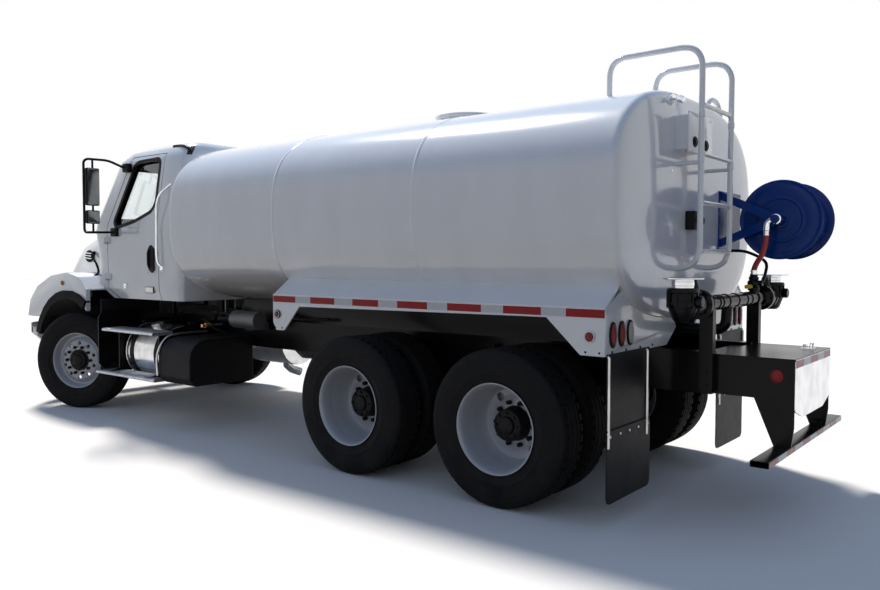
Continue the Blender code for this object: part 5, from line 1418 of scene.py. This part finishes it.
def makeFuelTank(s):
    bm = bmesh.new()
    place = placeAt(at(s["rear"], s["y"], s["z"]), (1, 0, 0))
    long, radius = s["front"] - s["rear"], s["radius"]
    addTurned(bm, [(0, 0.012), (radius - 0.055, 0.006), (radius - 0.028, 0), (radius - 0.010, 0.004),
                   (radius, 0.014), (radius + 0.003, 0.018), (radius + 0.003, 0.026), (radius, 0.030),
                   (radius, long - 0.030), (radius + 0.003, long - 0.026), (radius + 0.003, long - 0.018),
                   (radius, long - 0.014), (radius - 0.010, long - 0.004), (radius - 0.028, long),
                   (0, long - 0.010)], place, 72)
    black = []
    for station in s["straps"]:
        across = placeAt(at(station, s["y"], s["z"]), (1, 0, 0))
        band = addTurned(bm, [(radius - 0.002, -0.030), (radius + 0.007, -0.028), (radius + 0.007, 0.028),
                              (radius - 0.002, 0.030)], across, 72, closed=True)
        black += band + addBlock(bm, at(station - 0.03, 0.4303, s["z"] + 0.05),
                                 at(station + 0.03, s["y"] - 0.1, s["z"] + 0.30))
    paintFaces(black, 1)
    neck = addTurned(bm, [(0.048, 0), (0.048, 0.035), (0.058, 0.036), (0.060, 0.046), (0.056, 0.056),
                          (0, 0.060)],
                     placeAt(at(3.70, s["y"] + 0.12, s["z"] + 0.245), (0, 0.30, 0.95)), 40)
    paintFaces(neck, 2)
    makePiece("fuelTankFine", bm, [brushedTank, plasticBlack, zincSteel], "chassis", "fuel_tank", smooth=35)


makeFuelTank(tankBarrel)


def makeUndercab():
    # Silver strap round the battery box, filler, air fitting and hoses
    bm = bmesh.new()
    strap = addPipe(bm, smoothPath([at(3.245, 0.60, 0.885), at(3.245, 0.97, 0.878), at(3.245, 1.10, 0.82),
                                    at(3.245, 1.165, 0.68), at(3.245, 1.160, 0.50)], 0.03), 0.010, 3)
    paintFaces(strap, 0)
    hoses = []
    for points in ([(3.18, 0.55, 0.98), (3.05, 0.62, 1.06), (2.85, 0.66, 1.08), (2.62, 0.60, 1.05)],
                   [(3.30, 0.62, 1.00), (3.12, 0.70, 1.00), (2.98, 0.72, 0.94), (2.90, 0.62, 0.88)],
                   [(3.90, 0.50, 1.02), (3.60, 0.60, 1.08), (3.35, 0.66, 1.10), (3.10, 0.58, 1.10)],
                   [(2.30, 0.48, 1.10), (2.10, 0.52, 1.07), (1.90, 0.52, 1.06), (1.62, 0.47, 1.07)]):
        hoses += addPipe(bm, smoothPath([at(*p) for p in points], 0.03), 0.014, 3)
    for sign in (1, -1):
        # Dark sheet between the splash guard and the cab's floor
        hoses += addBlock(bm, at(4.330, sign * 0.45, 1.03), at(4.345, sign * 1.12, 1.19))
    paintFaces(hoses, 1)
    brass = addDrum(bm, at(3.00, 0.74, 0.965), at(3.00, 0.80, 0.965), 0.024, segments=6)
    brass += addDrum(bm, at(3.00, 0.80, 0.965), at(3.00, 0.835, 0.965), 0.016, segments=20)
    paintFaces(brass, 2)
    link = addPipe(bm, [at(3.00, 0.60, 0.965), at(3.00, 0.75, 0.965)], 0.012, 3)
    paintFaces(link, 0)
    makePiece("undercabFittings", bm, [zincSteel, plasticBlack, brassFitting], "chassis", smooth=40)


makeUndercab()
stage("steps and fuel tank")


# Side fenders along the tank, with lamps, markers, reflective tape and mudflaps

fenderShape = {"rear": -1.436, "outer": 1.22, "lampZ": 1.16, "lampYs": (1.130, 1.015, 0.900),
               "lampHalf": (0.040, 0.078), "markers": ((-1.34, 1.150, 0.026), (1.43, 1.165, 0.022)),
               "tapeLow": 1.262, "tapeHigh": 1.311, "reds": ((1.483, 1.220), (1.049, 0.786), (0.598, 0.339),
                                                             (0.159, -0.112), (-0.284, -0.560),
                                                             (-0.730, -1.007), (-1.179, -1.433)),
               "seamBolts": (1.13, 0.943, 0.744, 0.563)}


def fenderFaces(middle, normal, enclosed):
    # 1 on the grommets round the lamps and the markers
    lamp = middle.x < -1.4365 and 1.07 < middle.z < 1.25
    marker = abs(middle.y) > 1.2205 and min(abs(middle.x + 1.34), abs(middle.x - 1.43)) < 0.037
    return 1 if lamp or marker else 0


def addLens(bm, place, axis, radius, rise, index, scale=(1, 1, 1)):
    # A flat-rimmed domed lens on a plane across the axis
    dome = addTurned(bm, [(0, rise), (radius * 0.45, rise * 0.92), (radius * 0.8, rise * 0.66),
                          (radius * 0.95, rise * 0.4), (radius, 0.0), (radius, -0.004), (0, -0.004)],
                     Matrix.Translation(place) @ Matrix.Diagonal((*scale, 1)) @ placeTurn(axis), 40)
    return paintFaces(dome, index)


def makeFenderTrim(name, sign, s):
    bm = bmesh.new()
    rear = s["rear"]
    half, tall = s["lampHalf"]
    for k, y in enumerate(s["lampYs"]):
        addLens(bm, at(rear - 0.0125, sign * y, s["lampZ"]), (-1, 0, 0), half * 0.80, 0.010,
                1 if k == 2 else 0, (1, 1, 1.05 * tall / half))
    for station, z, radius in s["markers"]:
        addLens(bm, at(station, sign * (s["outer"] + 0.0125), z), (0, sign, 0), radius, 0.008, 0)
        ring = addTurned(bm, [(radius + 0.001, 0.0115), (radius + 0.004, 0.0135), (radius + 0.008, 0.0125),
                              (radius + 0.009, 0.0)],
                         placeAt(at(station, sign * s["outer"], z), (0, sign, 0)), 40)
        paintFaces(ring, 2)
    # Tape along the rail: red and silver by turns, under a white rolled edge
    edges = [place for pair in s["reds"] for place in pair]
    for k, (front, back) in enumerate(zip(edges, edges[1:])):
        strip = addBlock(bm, at(back, sign * (s["outer"] - 0.001), s["tapeLow"]),
                         at(front, sign * (s["outer"] + 0.001), s["tapeHigh"]))
        paintFaces(strip, 3 + k % 2)
    rolled = addPipe(bm, [at(rear + 0.004, sign * (s["outer"] - 0.0035), 1.3205),
                          at(1.486, sign * (s["outer"] - 0.0035), 1.3205)], 0.0055, 3)
    rolled += addPipe(bm, [at(rear + 0.004, sign * (s["outer"] - 0.002), 1.2545),
                           at(1.486, sign * (s["outer"] - 0.002), 1.2545)], 0.0035, 2)
    paintFaces(rolled, 2)
    screws = []
    for y in s["seamBolts"]:
        screws += addTurned(bm, [(0, 0.005), (0.006, 0.0045), (0.009, 0.0015), (0.009, -0.001), (0, -0.001)],
                            placeAt(at(rear, sign * y, 1.058), (-1, 0, 0)), 20)
    for station in (-1.40, -1.31, 1.38, 1.46):
        screws += addTurned(bm, [(0, 0.004), (0.005, 0.0035), (0.007, 0.0012), (0.007, -0.001), (0, -0.001)],
                            placeAt(at(station, sign * s["outer"], 1.058), (0, sign, 0)), 20)
    paintFaces(screws, 5)
    makePiece("fenderTrim_" + name, bm, [redLens, clearLens, whitePaint, redTape, silverTape, sealBlack],
              "chassis", smooth=40)


def makeMudflap(name, sign):
    # A stiff upper sheet between two steel rods, and a hanging flap with rounded corners
    bm = bmesh.new()
    face = -1.4366
    upper = [at(face, sign * y, z) for y, z in ((0.615, 0.50), (1.200, 0.50), (1.200, 1.05), (0.615, 1.05))]
    addSlab(bm, upper, (-0.006, 0, 0))
    lower = roundOutline([(0.605, 0.166), (1.204, 0.166), (1.204, 0.60), (0.605, 0.60)], 0.05, 5)
    addSlab(bm, [at(face - 0.004, sign * y, z) for y, z in lower], (-0.006, 0, 0))
    addPipe(bm, [at(face - 0.008, sign * 0.615, 0.60), at(face - 0.008, sign * 1.200, 0.60)], 0.006, 3)
    paintFaces(list(bm.verts), 0)
    steel = []
    for y in (0.66, 1.19):
        steel += addPipe(bm, roundedPath([at(face - 0.002, sign * y, 1.036),
                                          at(face - 0.012, sign * y, 1.030), at(face - 0.012, sign * y, 0.52),
                                          at(face - 0.012, sign * y, 0.50)], 0.01, 3),
                         0.0085, 3)
    for y in (0.645, 0.78, 0.905, 1.03, 1.165):
        steel += addTurned(bm, [(0, 0.016), (0.006, 0.0155), (0.009, 0.012), (0.009, 0.008), (0, 0.008)],
                           placeAt(at(face, sign * y, 0.565), (-1, 0, 0)), 16)
    paintFaces(steel, 1)
    makePiece("mudflapFine_" + name, bm, [flapBlack, zincSteel], "chassis", "mudflap_" + name, smooth=35)


for name, sign in sides:
    dressNode("side_fender_" + name, [whitePaint, sealBlack], 30, 0.003, fenderFaces)
    makeFenderTrim(name, sign, fenderShape)
    makeMudflap(name, sign)
stage("fenders and mudflaps")


# Ladder with its handrails, control box and fittings on the rear head

ladderShape = {"station": -1.67, "stiles": ((0.385, -1.03), (-0.165, -1.12)), "radius": 0.019, "top": 2.955,
               "foot": 1.545, "standoff": 2.22, "rungLow": 1.655, "rungPitch": 0.31, "rungs": 4,
               "head": -1.497}


def makeLadder(s):
    bm = bmesh.new()
    x, top = s["station"], s["top"]
    for y, base in s["stiles"]:
        path = [at(base, y, 2.685), at(base, y, top - 0.09), at(base - 0.025, y, top - 0.03),
                at(base - 0.085, y, top), at(x + 0.12, y, top + 0.002), at(x + 0.045, y, top - 0.02),
                at(x, y, top - 0.09), at(x, y, s["foot"] + 0.12), at(x + 0.03, y, s["foot"] + 0.035),
                at(x + 0.10, y, s["foot"]), at(s["head"], y, s["foot"])]
        addPipe(bm, roundedPath(path, 0.05, 6), s["radius"], 5)
        addPipe(bm, [at(x, y, s["standoff"]), at(s["head"], y, s["standoff"])], 0.013, 4)
        for z in (2.24, 2.52):
            addTurned(bm, [(0.0185, -0.020), (0.0225, -0.018), (0.0225, 0.018), (0.0185, 0.020)],
                      Matrix.Translation(at(x, y, z)), 28)
        addTurned(bm, [(0.018, 0.022), (0.030, 0.006), (0.045, 0.004), (0.045, -0.03), (0.018, -0.03)],
                  Matrix.Translation(at(base, y, 2.695)), 32)
    low, high = sorted(y for y, base in s["stiles"])
    for k in range(s["rungs"]):
        z = s["rungLow"] + k * s["rungPitch"]
        addPipe(bm, [at(x, low, z), at(x, high, z)], 0.0150, 4)
        for y, side in ((low, 1), (high, -1)):
            # Weld collars where the rung meets the stiles
            addTurned(bm, [(0.0148, 0.006), (0.019, 0.001), (0.019, -0.006), (0.0148, -0.006)],
                      placeAt(at(x, y + side * 0.022, z), (0, side, 0)), 24)
    makePiece("ladderFine", bm, whitePaint, "chassis", "ladder", smooth=45)


def makeControls():
    # Face plate with two push switches and a smaller one, its screws, a socket on the head and two fittings
    bm = bmesh.new()
    face = -1.6005
    addBlock(bm, at(face + 0.001, 0.045, 2.315), at(-1.49, 0.385, 2.530))
    plate = addBlock(bm, at(face - 0.004, 0.010, 2.285), at(face + 0.002, 0.430, 2.545))
    roundEdges(bm, edgesOf(plate), 0.0015, 2)
    paintFaces(list(bm.verts), 0)
    black = []
    for y, z, radius in ((0.325, 2.360, 0.034), (0.130, 2.355, 0.034), (0.225, 2.355, 0.018)):
        black += addTurned(bm, [(0, 0.016), (radius * 0.55, 0.016), (radius * 0.62, 0.010),
                                (radius * 0.9, 0.010), (radius, 0.006), (radius, -0.002), (0, -0.002)],
                           placeAt(at(face - 0.003, y, z), (-1, 0, 0)), 40)
    # Trailer-style socket with its flap, low beside the ladder
    case = addBlock(bm, at(-1.575, 0.085, 1.80), at(-1.490, 0.225, 1.925))
    roundEdges(bm, edgesOf(case), 0.010, 3)
    black += [v for v in bm.verts if v.co.x - tandemX > -1.58 and v.co.z < 2.0]
    black += addDrum(bm, at(-1.575, 0.115, 1.862), at(-1.592, 0.115, 1.862), 0.024, segments=28)
    black += addDrum(bm, at(-1.575, 0.190, 1.862), at(-1.588, 0.190, 1.862), 0.018, segments=28)
    paintFaces(black, 1)
    steel = []
    for y, z in ((0.028, 2.302), (0.412, 2.302), (0.028, 2.528), (0.412, 2.528)):
        steel += addTurned(bm, [(0, 0.0045), (0.004, 0.004), (0.006, 0.001), (0.006, -0.001), (0, -0.001)],
                           placeAt(at(face - 0.003, y, z), (-1, 0, 0)), 16)
    # Swivel fitting on the head's top left: two knuckles and a spout
    steel += addDrum(bm, at(-1.455, 0.46, 2.630), at(-1.530, 0.46, 2.630), 0.016, segments=24)
    steel += addPipe(bm, [at(-1.530, 0.49, 2.630), at(-1.530, 0.35, 2.634)], 0.014, 4)
    steel += addTurned(bm, [(0, 0.03), (0.016, 0.028), (0.024, 0.015), (0.024, -0.015), (0.016, -0.028),
                            (0, -0.03)],
                       placeAt(at(-1.530, 0.37, 2.633), (0, 1, 0)), 28)
    steel += addTurned(bm, [(0, 0.02), (0.016, 0.018), (0.021, 0.010), (0.021, -0.015), (0, -0.02)],
                       placeAt(at(-1.530, 0.49, 2.630), (0, 1, 0)), 28)
    # Small sensor button on the head
    steel += addDrum(bm, at(-1.49, 0.47, 2.17), at(-1.515, 0.47, 2.17), 0.008, segments=16)
    paintFaces(steel, 2)
    # Vent hood over the top edge of the head
    hood = addPipe(bm, smoothPath([at(-1.43, -0.28, 2.64), at(-1.44, -0.34, 2.725), at(-1.44, -0.44, 2.765),
                                   at(-1.44, -0.54, 2.745), at(-1.44, -0.60, 2.66)], 0.03), 0.020, 4)
    paintFaces(hood, 0)
    makePiece("rearFittings", bm, [whitePaint, sealBlack, polishedSteel], "chassis", "control_box", smooth=35)


makeLadder(ladderShape)
makeControls()
stage("ladder and controls")


# Rear box with its polished plate, tape, latch, reflectors and hollow step bar

rearBox = {"half": 0.424, "sheet": 0.010, "front": -1.775, "rear": -2.272, "top": 1.013, "bar": 0.869}


def addTape(bm, count, half, inset, low, high):
    # Red and silver strips by turns from side to side, between two corners of (station, height)
    width = 2 * half / count
    for k in range(count):
        y = half - k * width
        strip = addBlock(bm, at(low[0], y - width + inset, low[1]), at(high[0], y - inset, high[1]))
        paintFaces(strip, k % 2)


def makeRearBox(s):
    bm = bmesh.new()
    front, rear, top = s["front"], s["rear"], s["top"]
    side = [(front, top - 0.005), (front, 0.763), (-2.033, 0.762), (-2.156, 0.47), (-2.25, 0.47),
            (rear + 0.005, 0.60), (rear + 0.005, top - 0.005)]
    for sign in (1, -1):
        addSlab(bm, [at(x, sign * s["half"], z) for x, z in side], (0, -sign * s["sheet"], 0))
    addBlock(bm, at(rear + 0.003, -s["half"] - 0.003, top - s["sheet"]),
             at(front - 0.001, s["half"] + 0.003, top))
    paintFaces(list(bm.verts), 0)
    half = s["half"] - 0.004
    corners = roundOutline([(-half, 1.006), (-half, 0.70), (-half + 0.18, 0.645), (half - 0.18, 0.645),
                            (half, 0.70), (half, 1.006)], 0.015, 4)
    paintFaces(addSlab(bm, [at(rear + 0.0015, y, z) for y, z in corners], (0.0105, 0, 0)), 1)
    bar = bmesh.new()
    addBlock(bar, at(-2.255, -s["bar"], 0.447), at(-2.152, s["bar"], 0.485))
    roundEdges(bar, [e for e in bar.edges if abs(e.verts[0].co.y - e.verts[1].co.y) > 0.5], 0.006, 3)
    hole = bmesh.new()
    addBlock(hole, at(-2.251, -s["bar"] - 0.01, 0.451), at(-2.156, s["bar"] + 0.01, 0.481))
    tube = cutPiece(bar, [(hole, "DIFFERENCE")])
    addForm(bm, tube)
    tube.free()
    for sign in (1, -1):
        # Bars up from the step bar to the box
        addBlock(bm, at(-2.235, sign * 0.395 - 0.02, 0.48), at(-2.175, sign * 0.395 + 0.02, 0.52))
    makePiece("rearBoxFine", bm, [chassisBlack, polishedSteel], "chassis", "rear_box", smooth=30, bevel=0.002)
    bm = bmesh.new()
    addTape(bm, 5, half, 0.0005, (rear + 0.0003, 0.958), (rear + 0.002, 1.003))
    addTape(bm, 10, s["bar"], 0.001, (-2.2565, 0.450), (-2.2545, 0.482))
    for sign in (1, -1):
        addLens(bm, at(-2.165, sign * (s["half"] + 0.001), 0.905), (0, sign, 0), 0.034, 0.006, 2)
        rim = addTurned(bm, [(0.033, 0.005), (0.037, 0.005), (0.039, 0.001), (0.039, -0.001)],
                        placeAt(at(-2.165, sign * (s["half"] + 0.001), 0.905), (0, sign, 0)), 40)
        paintFaces(rim, 2)
    # Hasp of the box lid
    latch = addBlock(bm, at(-2.215, -0.30, top - 0.001), at(-2.135, -0.20, top + 0.006))
    latch += addPipe(bm, roundedPath([at(-2.195, -0.285, top + 0.004), at(-2.195, -0.285, top + 0.038),
                                      at(-2.195, -0.215, top + 0.038), at(-2.195, -0.215, top + 0.004)],
                                     0.012, 4),
                     0.006, 3)
    latch += addBlock(bm, at(-2.165, -0.275, top + 0.004), at(-2.145, -0.225, top + 0.030))
    paintFaces(latch, 3)
    makePiece("rearBoxTrim", bm, [redTape, silverTape, redReflector, polishedSteel], "chassis", smooth=35)


makeRearBox(rearBox)
stage("rear box")


# Spray manifold with its two heads, valves and posts

manifoldShape = {"station": -1.755, "z": 1.33, "radius": 0.045, "headY": 0.87, "postY": (0.4303, 0.485),
                 "postBottom": 0.775, "riserY": -0.41, "riserTop": 1.4997}


def makeManifold(s):
    bm = bmesh.new()
    x, z, headY = s["station"], s["z"], s["headY"]
    addPipe(bm, [at(x, -headY, z), at(x, headY, z)], s["radius"], 8)
    for y in (-0.30, -0.20, -0.02, 0.16, 0.28, 0.34):
        addTurned(bm, [(0.044, -0.010), (0.050, -0.008), (0.050, 0.008), (0.044, 0.010)],
                  placeAt(at(x, y, z), (0, 1, 0)), 40)
    steel = []
    for sign in (1, -1):
        place = Matrix.Translation(at(x, sign * headY, z))
        # Cast body with a ribbed skirt, drain cone and side boss
        addTurned(bm, [(0.058, 0.108), (0.086, 0.104), (0.092, 0.098), (0.092, 0.080), (0.086, 0.074),
                       (0.086, 0.030), (0.090, 0.024), (0.090, 0.004), (0.086, -0.004), (0.080, -0.020),
                       (0.058, -0.080), (0.040, -0.096), (0.0, -0.098)], place, 48)
        rib = addBlock(bm, at(x + 0.080, sign * headY - 0.005, z - 0.01),
                       at(x + 0.093, sign * headY + 0.005, z + 0.09))
        repeatAround(bm, rib, at(x, sign * headY, z), (0, 0, 1), 12)
        addTurned(bm, [(0.030, 0.0), (0.036, 0.014), (0.036, 0.040), (0.028, 0.046), (0, 0.046)],
                  place @ Matrix.Translation((-0.075, 0, 0.025)) @ placeTurn((-1, 0, 0)), 32)
        steel += addTurned(bm, [(0, 0.1655), (0.114, 0.165), (0.118, 0.163), (0.118, 0.158), (0.108, 0.1545),
                                (0.062, 0.151), (0.062, 0.143), (0.064, 0.141), (0.064, 0.120),
                                (0.062, 0.118), (0.062, 0.104), (0, 0.104)], place, 64)
        # Butterfly valve: body, bolted flanges and the actuator's cone on top
        run = placeAt(at(x, sign * headY, z), (0, -sign, 0))
        addTurned(bm, [(0.050, 0.070), (0.070, 0.078), (0.078, 0.085), (0.078, 0.105), (0.072, 0.110),
                       (0.072, 0.225), (0.092, 0.232), (0.092, 0.264), (0.070, 0.268), (0.058, 0.286),
                       (0.046, 0.290)], run, 48)
        bolt = addDrum(bm, at(x, sign * (headY - 0.226), z + 0.078), at(x, sign * (headY - 0.272), z + 0.078),
                       0.008, segments=6)
        repeatAround(bm, bolt, at(x, sign * headY, z), (0, 1, 0), 8)
        addTurned(bm, [(0.046, 0.066), (0.050, 0.078), (0.034, 0.090), (0.030, 0.115), (0.018, 0.150),
                       (0, 0.154)],
                  Matrix.Translation(at(x, sign * (headY - 0.165), z)), 32)
        low, high = s["postY"]
        addBlock(bm, at(x - 0.0425, sign * low, s["postBottom"]), at(x + 0.0425, sign * high, z + 0.012))
        addTurned(bm, [(0.045, -0.030), (0.054, -0.028), (0.054, 0.028), (0.045, 0.030)],
                  placeAt(at(x, sign * (low + high) / 2, z), (0, 1, 0)), 40)
        for height in (0.815, 0.90):
            addDrum(bm, at(x, sign * high, height), at(x, sign * (high + 0.012), height), 0.014, segments=6)
    low = z - 0.19
    addPipe(bm, roundedPath([at(x, 0.10, z), at(x + 0.01, 0.10, low), at(-1.385, 0.10, low),
                             at(-1.385, 0.10, 1.235)],
                            0.07, 8), 0.035, 6)
    # Riser to the hose: ball valve, body and collar
    ry = s["riserY"]
    addTurned(bm, [(0.026, 0.030), (0.026, 0.052), (0.038, 0.056), (0.040, 0.075), (0.033, 0.080),
                   (0.042, 0.098), (0.042, 0.118), (0.030, 0.130), (0.034, 0.134), (0.034, 0.150),
                   (0.027, 0.153), (0.027, s["riserTop"] - z), (0, s["riserTop"] - z)],
              Matrix.Translation(at(x - 0.010, ry, z)), 32)
    addDrum(bm, at(x - 0.03, ry, z + 0.108), at(x - 0.072, ry, z + 0.108), 0.020, segments=24)
    addPipe(bm, smoothPath([at(x - 0.066, ry - 0.005, z + 0.11), at(x - 0.070, ry - 0.06, z + 0.17),
                            at(x - 0.050, ry - 0.12, z + 0.26), at(-1.66, ry - 0.17, z + 0.33),
                            at(-1.53, ry - 0.18, z + 0.34)], 0.02), 0.011, 4)
    paintFaces(list(set(bm.verts) - {v for v in steel if v.is_valid}), 0)
    paintFaces([v for v in steel if v.is_valid], 1)
    grip = addBlock(bm, at(x - 0.020, ry + 0.045, z + 0.072), at(x + 0.004, ry + 0.165, z + 0.098))
    roundEdges(bm, edgesOf(grip), 0.008, 3)
    yellow = [v for v in bm.verts if ry + 0.044 < v.co.y < ry + 0.166 and z + 0.071 < v.co.z < z + 0.099
              and x - 0.021 < v.co.x - tandemX < x + 0.005]
    paintFaces(yellow, 2)
    makePiece("manifoldFine", bm, [chassisBlack, polishedSteel, yellowGrip], "chassis", "manifold", smooth=35)


makeManifold(manifoldShape)
stage("manifold")


# Hose reel: pressed discs with rolled rims

reelShape = {"station": -1.91, "z": 1.885, "near": -0.50, "far": -0.85, "radius": 0.28, "bore": 0.0315}


def makeReel(s):
    bm = bmesh.new()
    deep, big = s["near"] - s["far"], s["radius"]
    # From the drum out over the rolled rim and back in over the pressed face: radius, depth
    face = [(big * 0.84, 0.019), (big * 0.93, 0.015), (big - 0.006, 0.013), (big - 0.0015, 0.010),
            (big, 0.006), (big - 0.003, 0.002), (big - 0.010, 0), (big - 0.016, 0.003), (big * 0.86, 0.004),
            (big * 0.82, 0.0005), (big * 0.79, 0), (big * 0.66, 0.004), (big * 0.585, 0.005),
            (big * 0.565, 0.001), (big * 0.545, 0), (big * 0.525, 0.001), (big * 0.505, 0.007),
            (big * 0.30, 0.009), (0.060, 0.009), (0.056, 0.002), (0.044, 0.001), (s["bore"], 0.001)]
    profile = [(radius, deep - depth) for radius, depth in reversed(face)] + face
    place = placeAt(at(s["station"], s["far"], s["z"]), (0, 1, 0))
    addTurned(bm, profile, place, 96, closed=True)
    for base, way in ((deep, 1), (0, -1)):
        y = s["far"] + base
        bolt = addDrum(bm, at(s["station"] + big * 0.40, y - way * 0.010, s["z"]),
                       at(s["station"] + big * 0.40, y - way * 0.002, s["z"]), 0.008, segments=6)
        repeatAround(bm, bolt, at(s["station"], y, s["z"]), (0, 1, 0), 6)
    makePiece("reelFine", bm, reelBlue, "hose_reel", "hose_reel", smooth=28)


makeReel(reelShape)
stage("hose reel")


# Seats: cushions and backrests on a plain base

seatShape = {"base": ((3.30, -0.78, 1.27), (3.80, 0.78, 1.425)), "middles": (0.50, -0.50), "crown": 0.016}


def addCushion(bm, low, high, lean=0.0):
    # A finely cut block, crowned on its faces and rounded at its edges
    cut = bmesh.new()
    addBlock(cut, (-0.5, -0.5, -0.5), (0.5, 0.5, 0.5))
    bmesh.ops.subdivide_edges(cut, edges=cut.edges[:], cuts=7, use_grid_fill=True)
    size = [high[k] - low[k] for k in range(3)]
    for v in cut.verts:
        spot = v.co * 2
        ease = [1 - abs(c) ** 4 for c in spot]
        swell = [ease[1] * ease[2], ease[0] * ease[2], ease[0] * ease[1]]
        place = [low[k] + size[k] * (v.co[k] * 0.94 + 0.5) for k in range(3)]
        for k in range(3):
            if abs(spot[k]) > 0.999:
                place[k] += math.copysign(seatShape["crown"] * swell[k] - 0.002, spot[k])
        place[0] -= lean * (v.co.z + 0.5)
        v.co = at(*place)
    addForm(bm, cut)
    cut.free()


def makeSeats(s):
    bm = bmesh.new()
    addBlock(bm, at(*s["base"][0]), at(*s["base"][1]))
    roundEdges(bm, bm.edges[:], 0.02, 3)
    for middle in s["middles"]:
        addCushion(bm, (3.29, middle - 0.25, 1.425), (3.83, middle + 0.25, 1.60))
        addCushion(bm, (3.20, middle - 0.24, 1.53), (3.37, middle + 0.24, 2.215), 0.05)
    seats = makePiece("seatsFine", bm, seatCloth, "chassis", "seats", smooth=60)
    step = seats.modifiers.new("soft", "SUBSURF")
    step.levels = step.render_levels = 1


makeSeats(seatShape)
stage("seats")
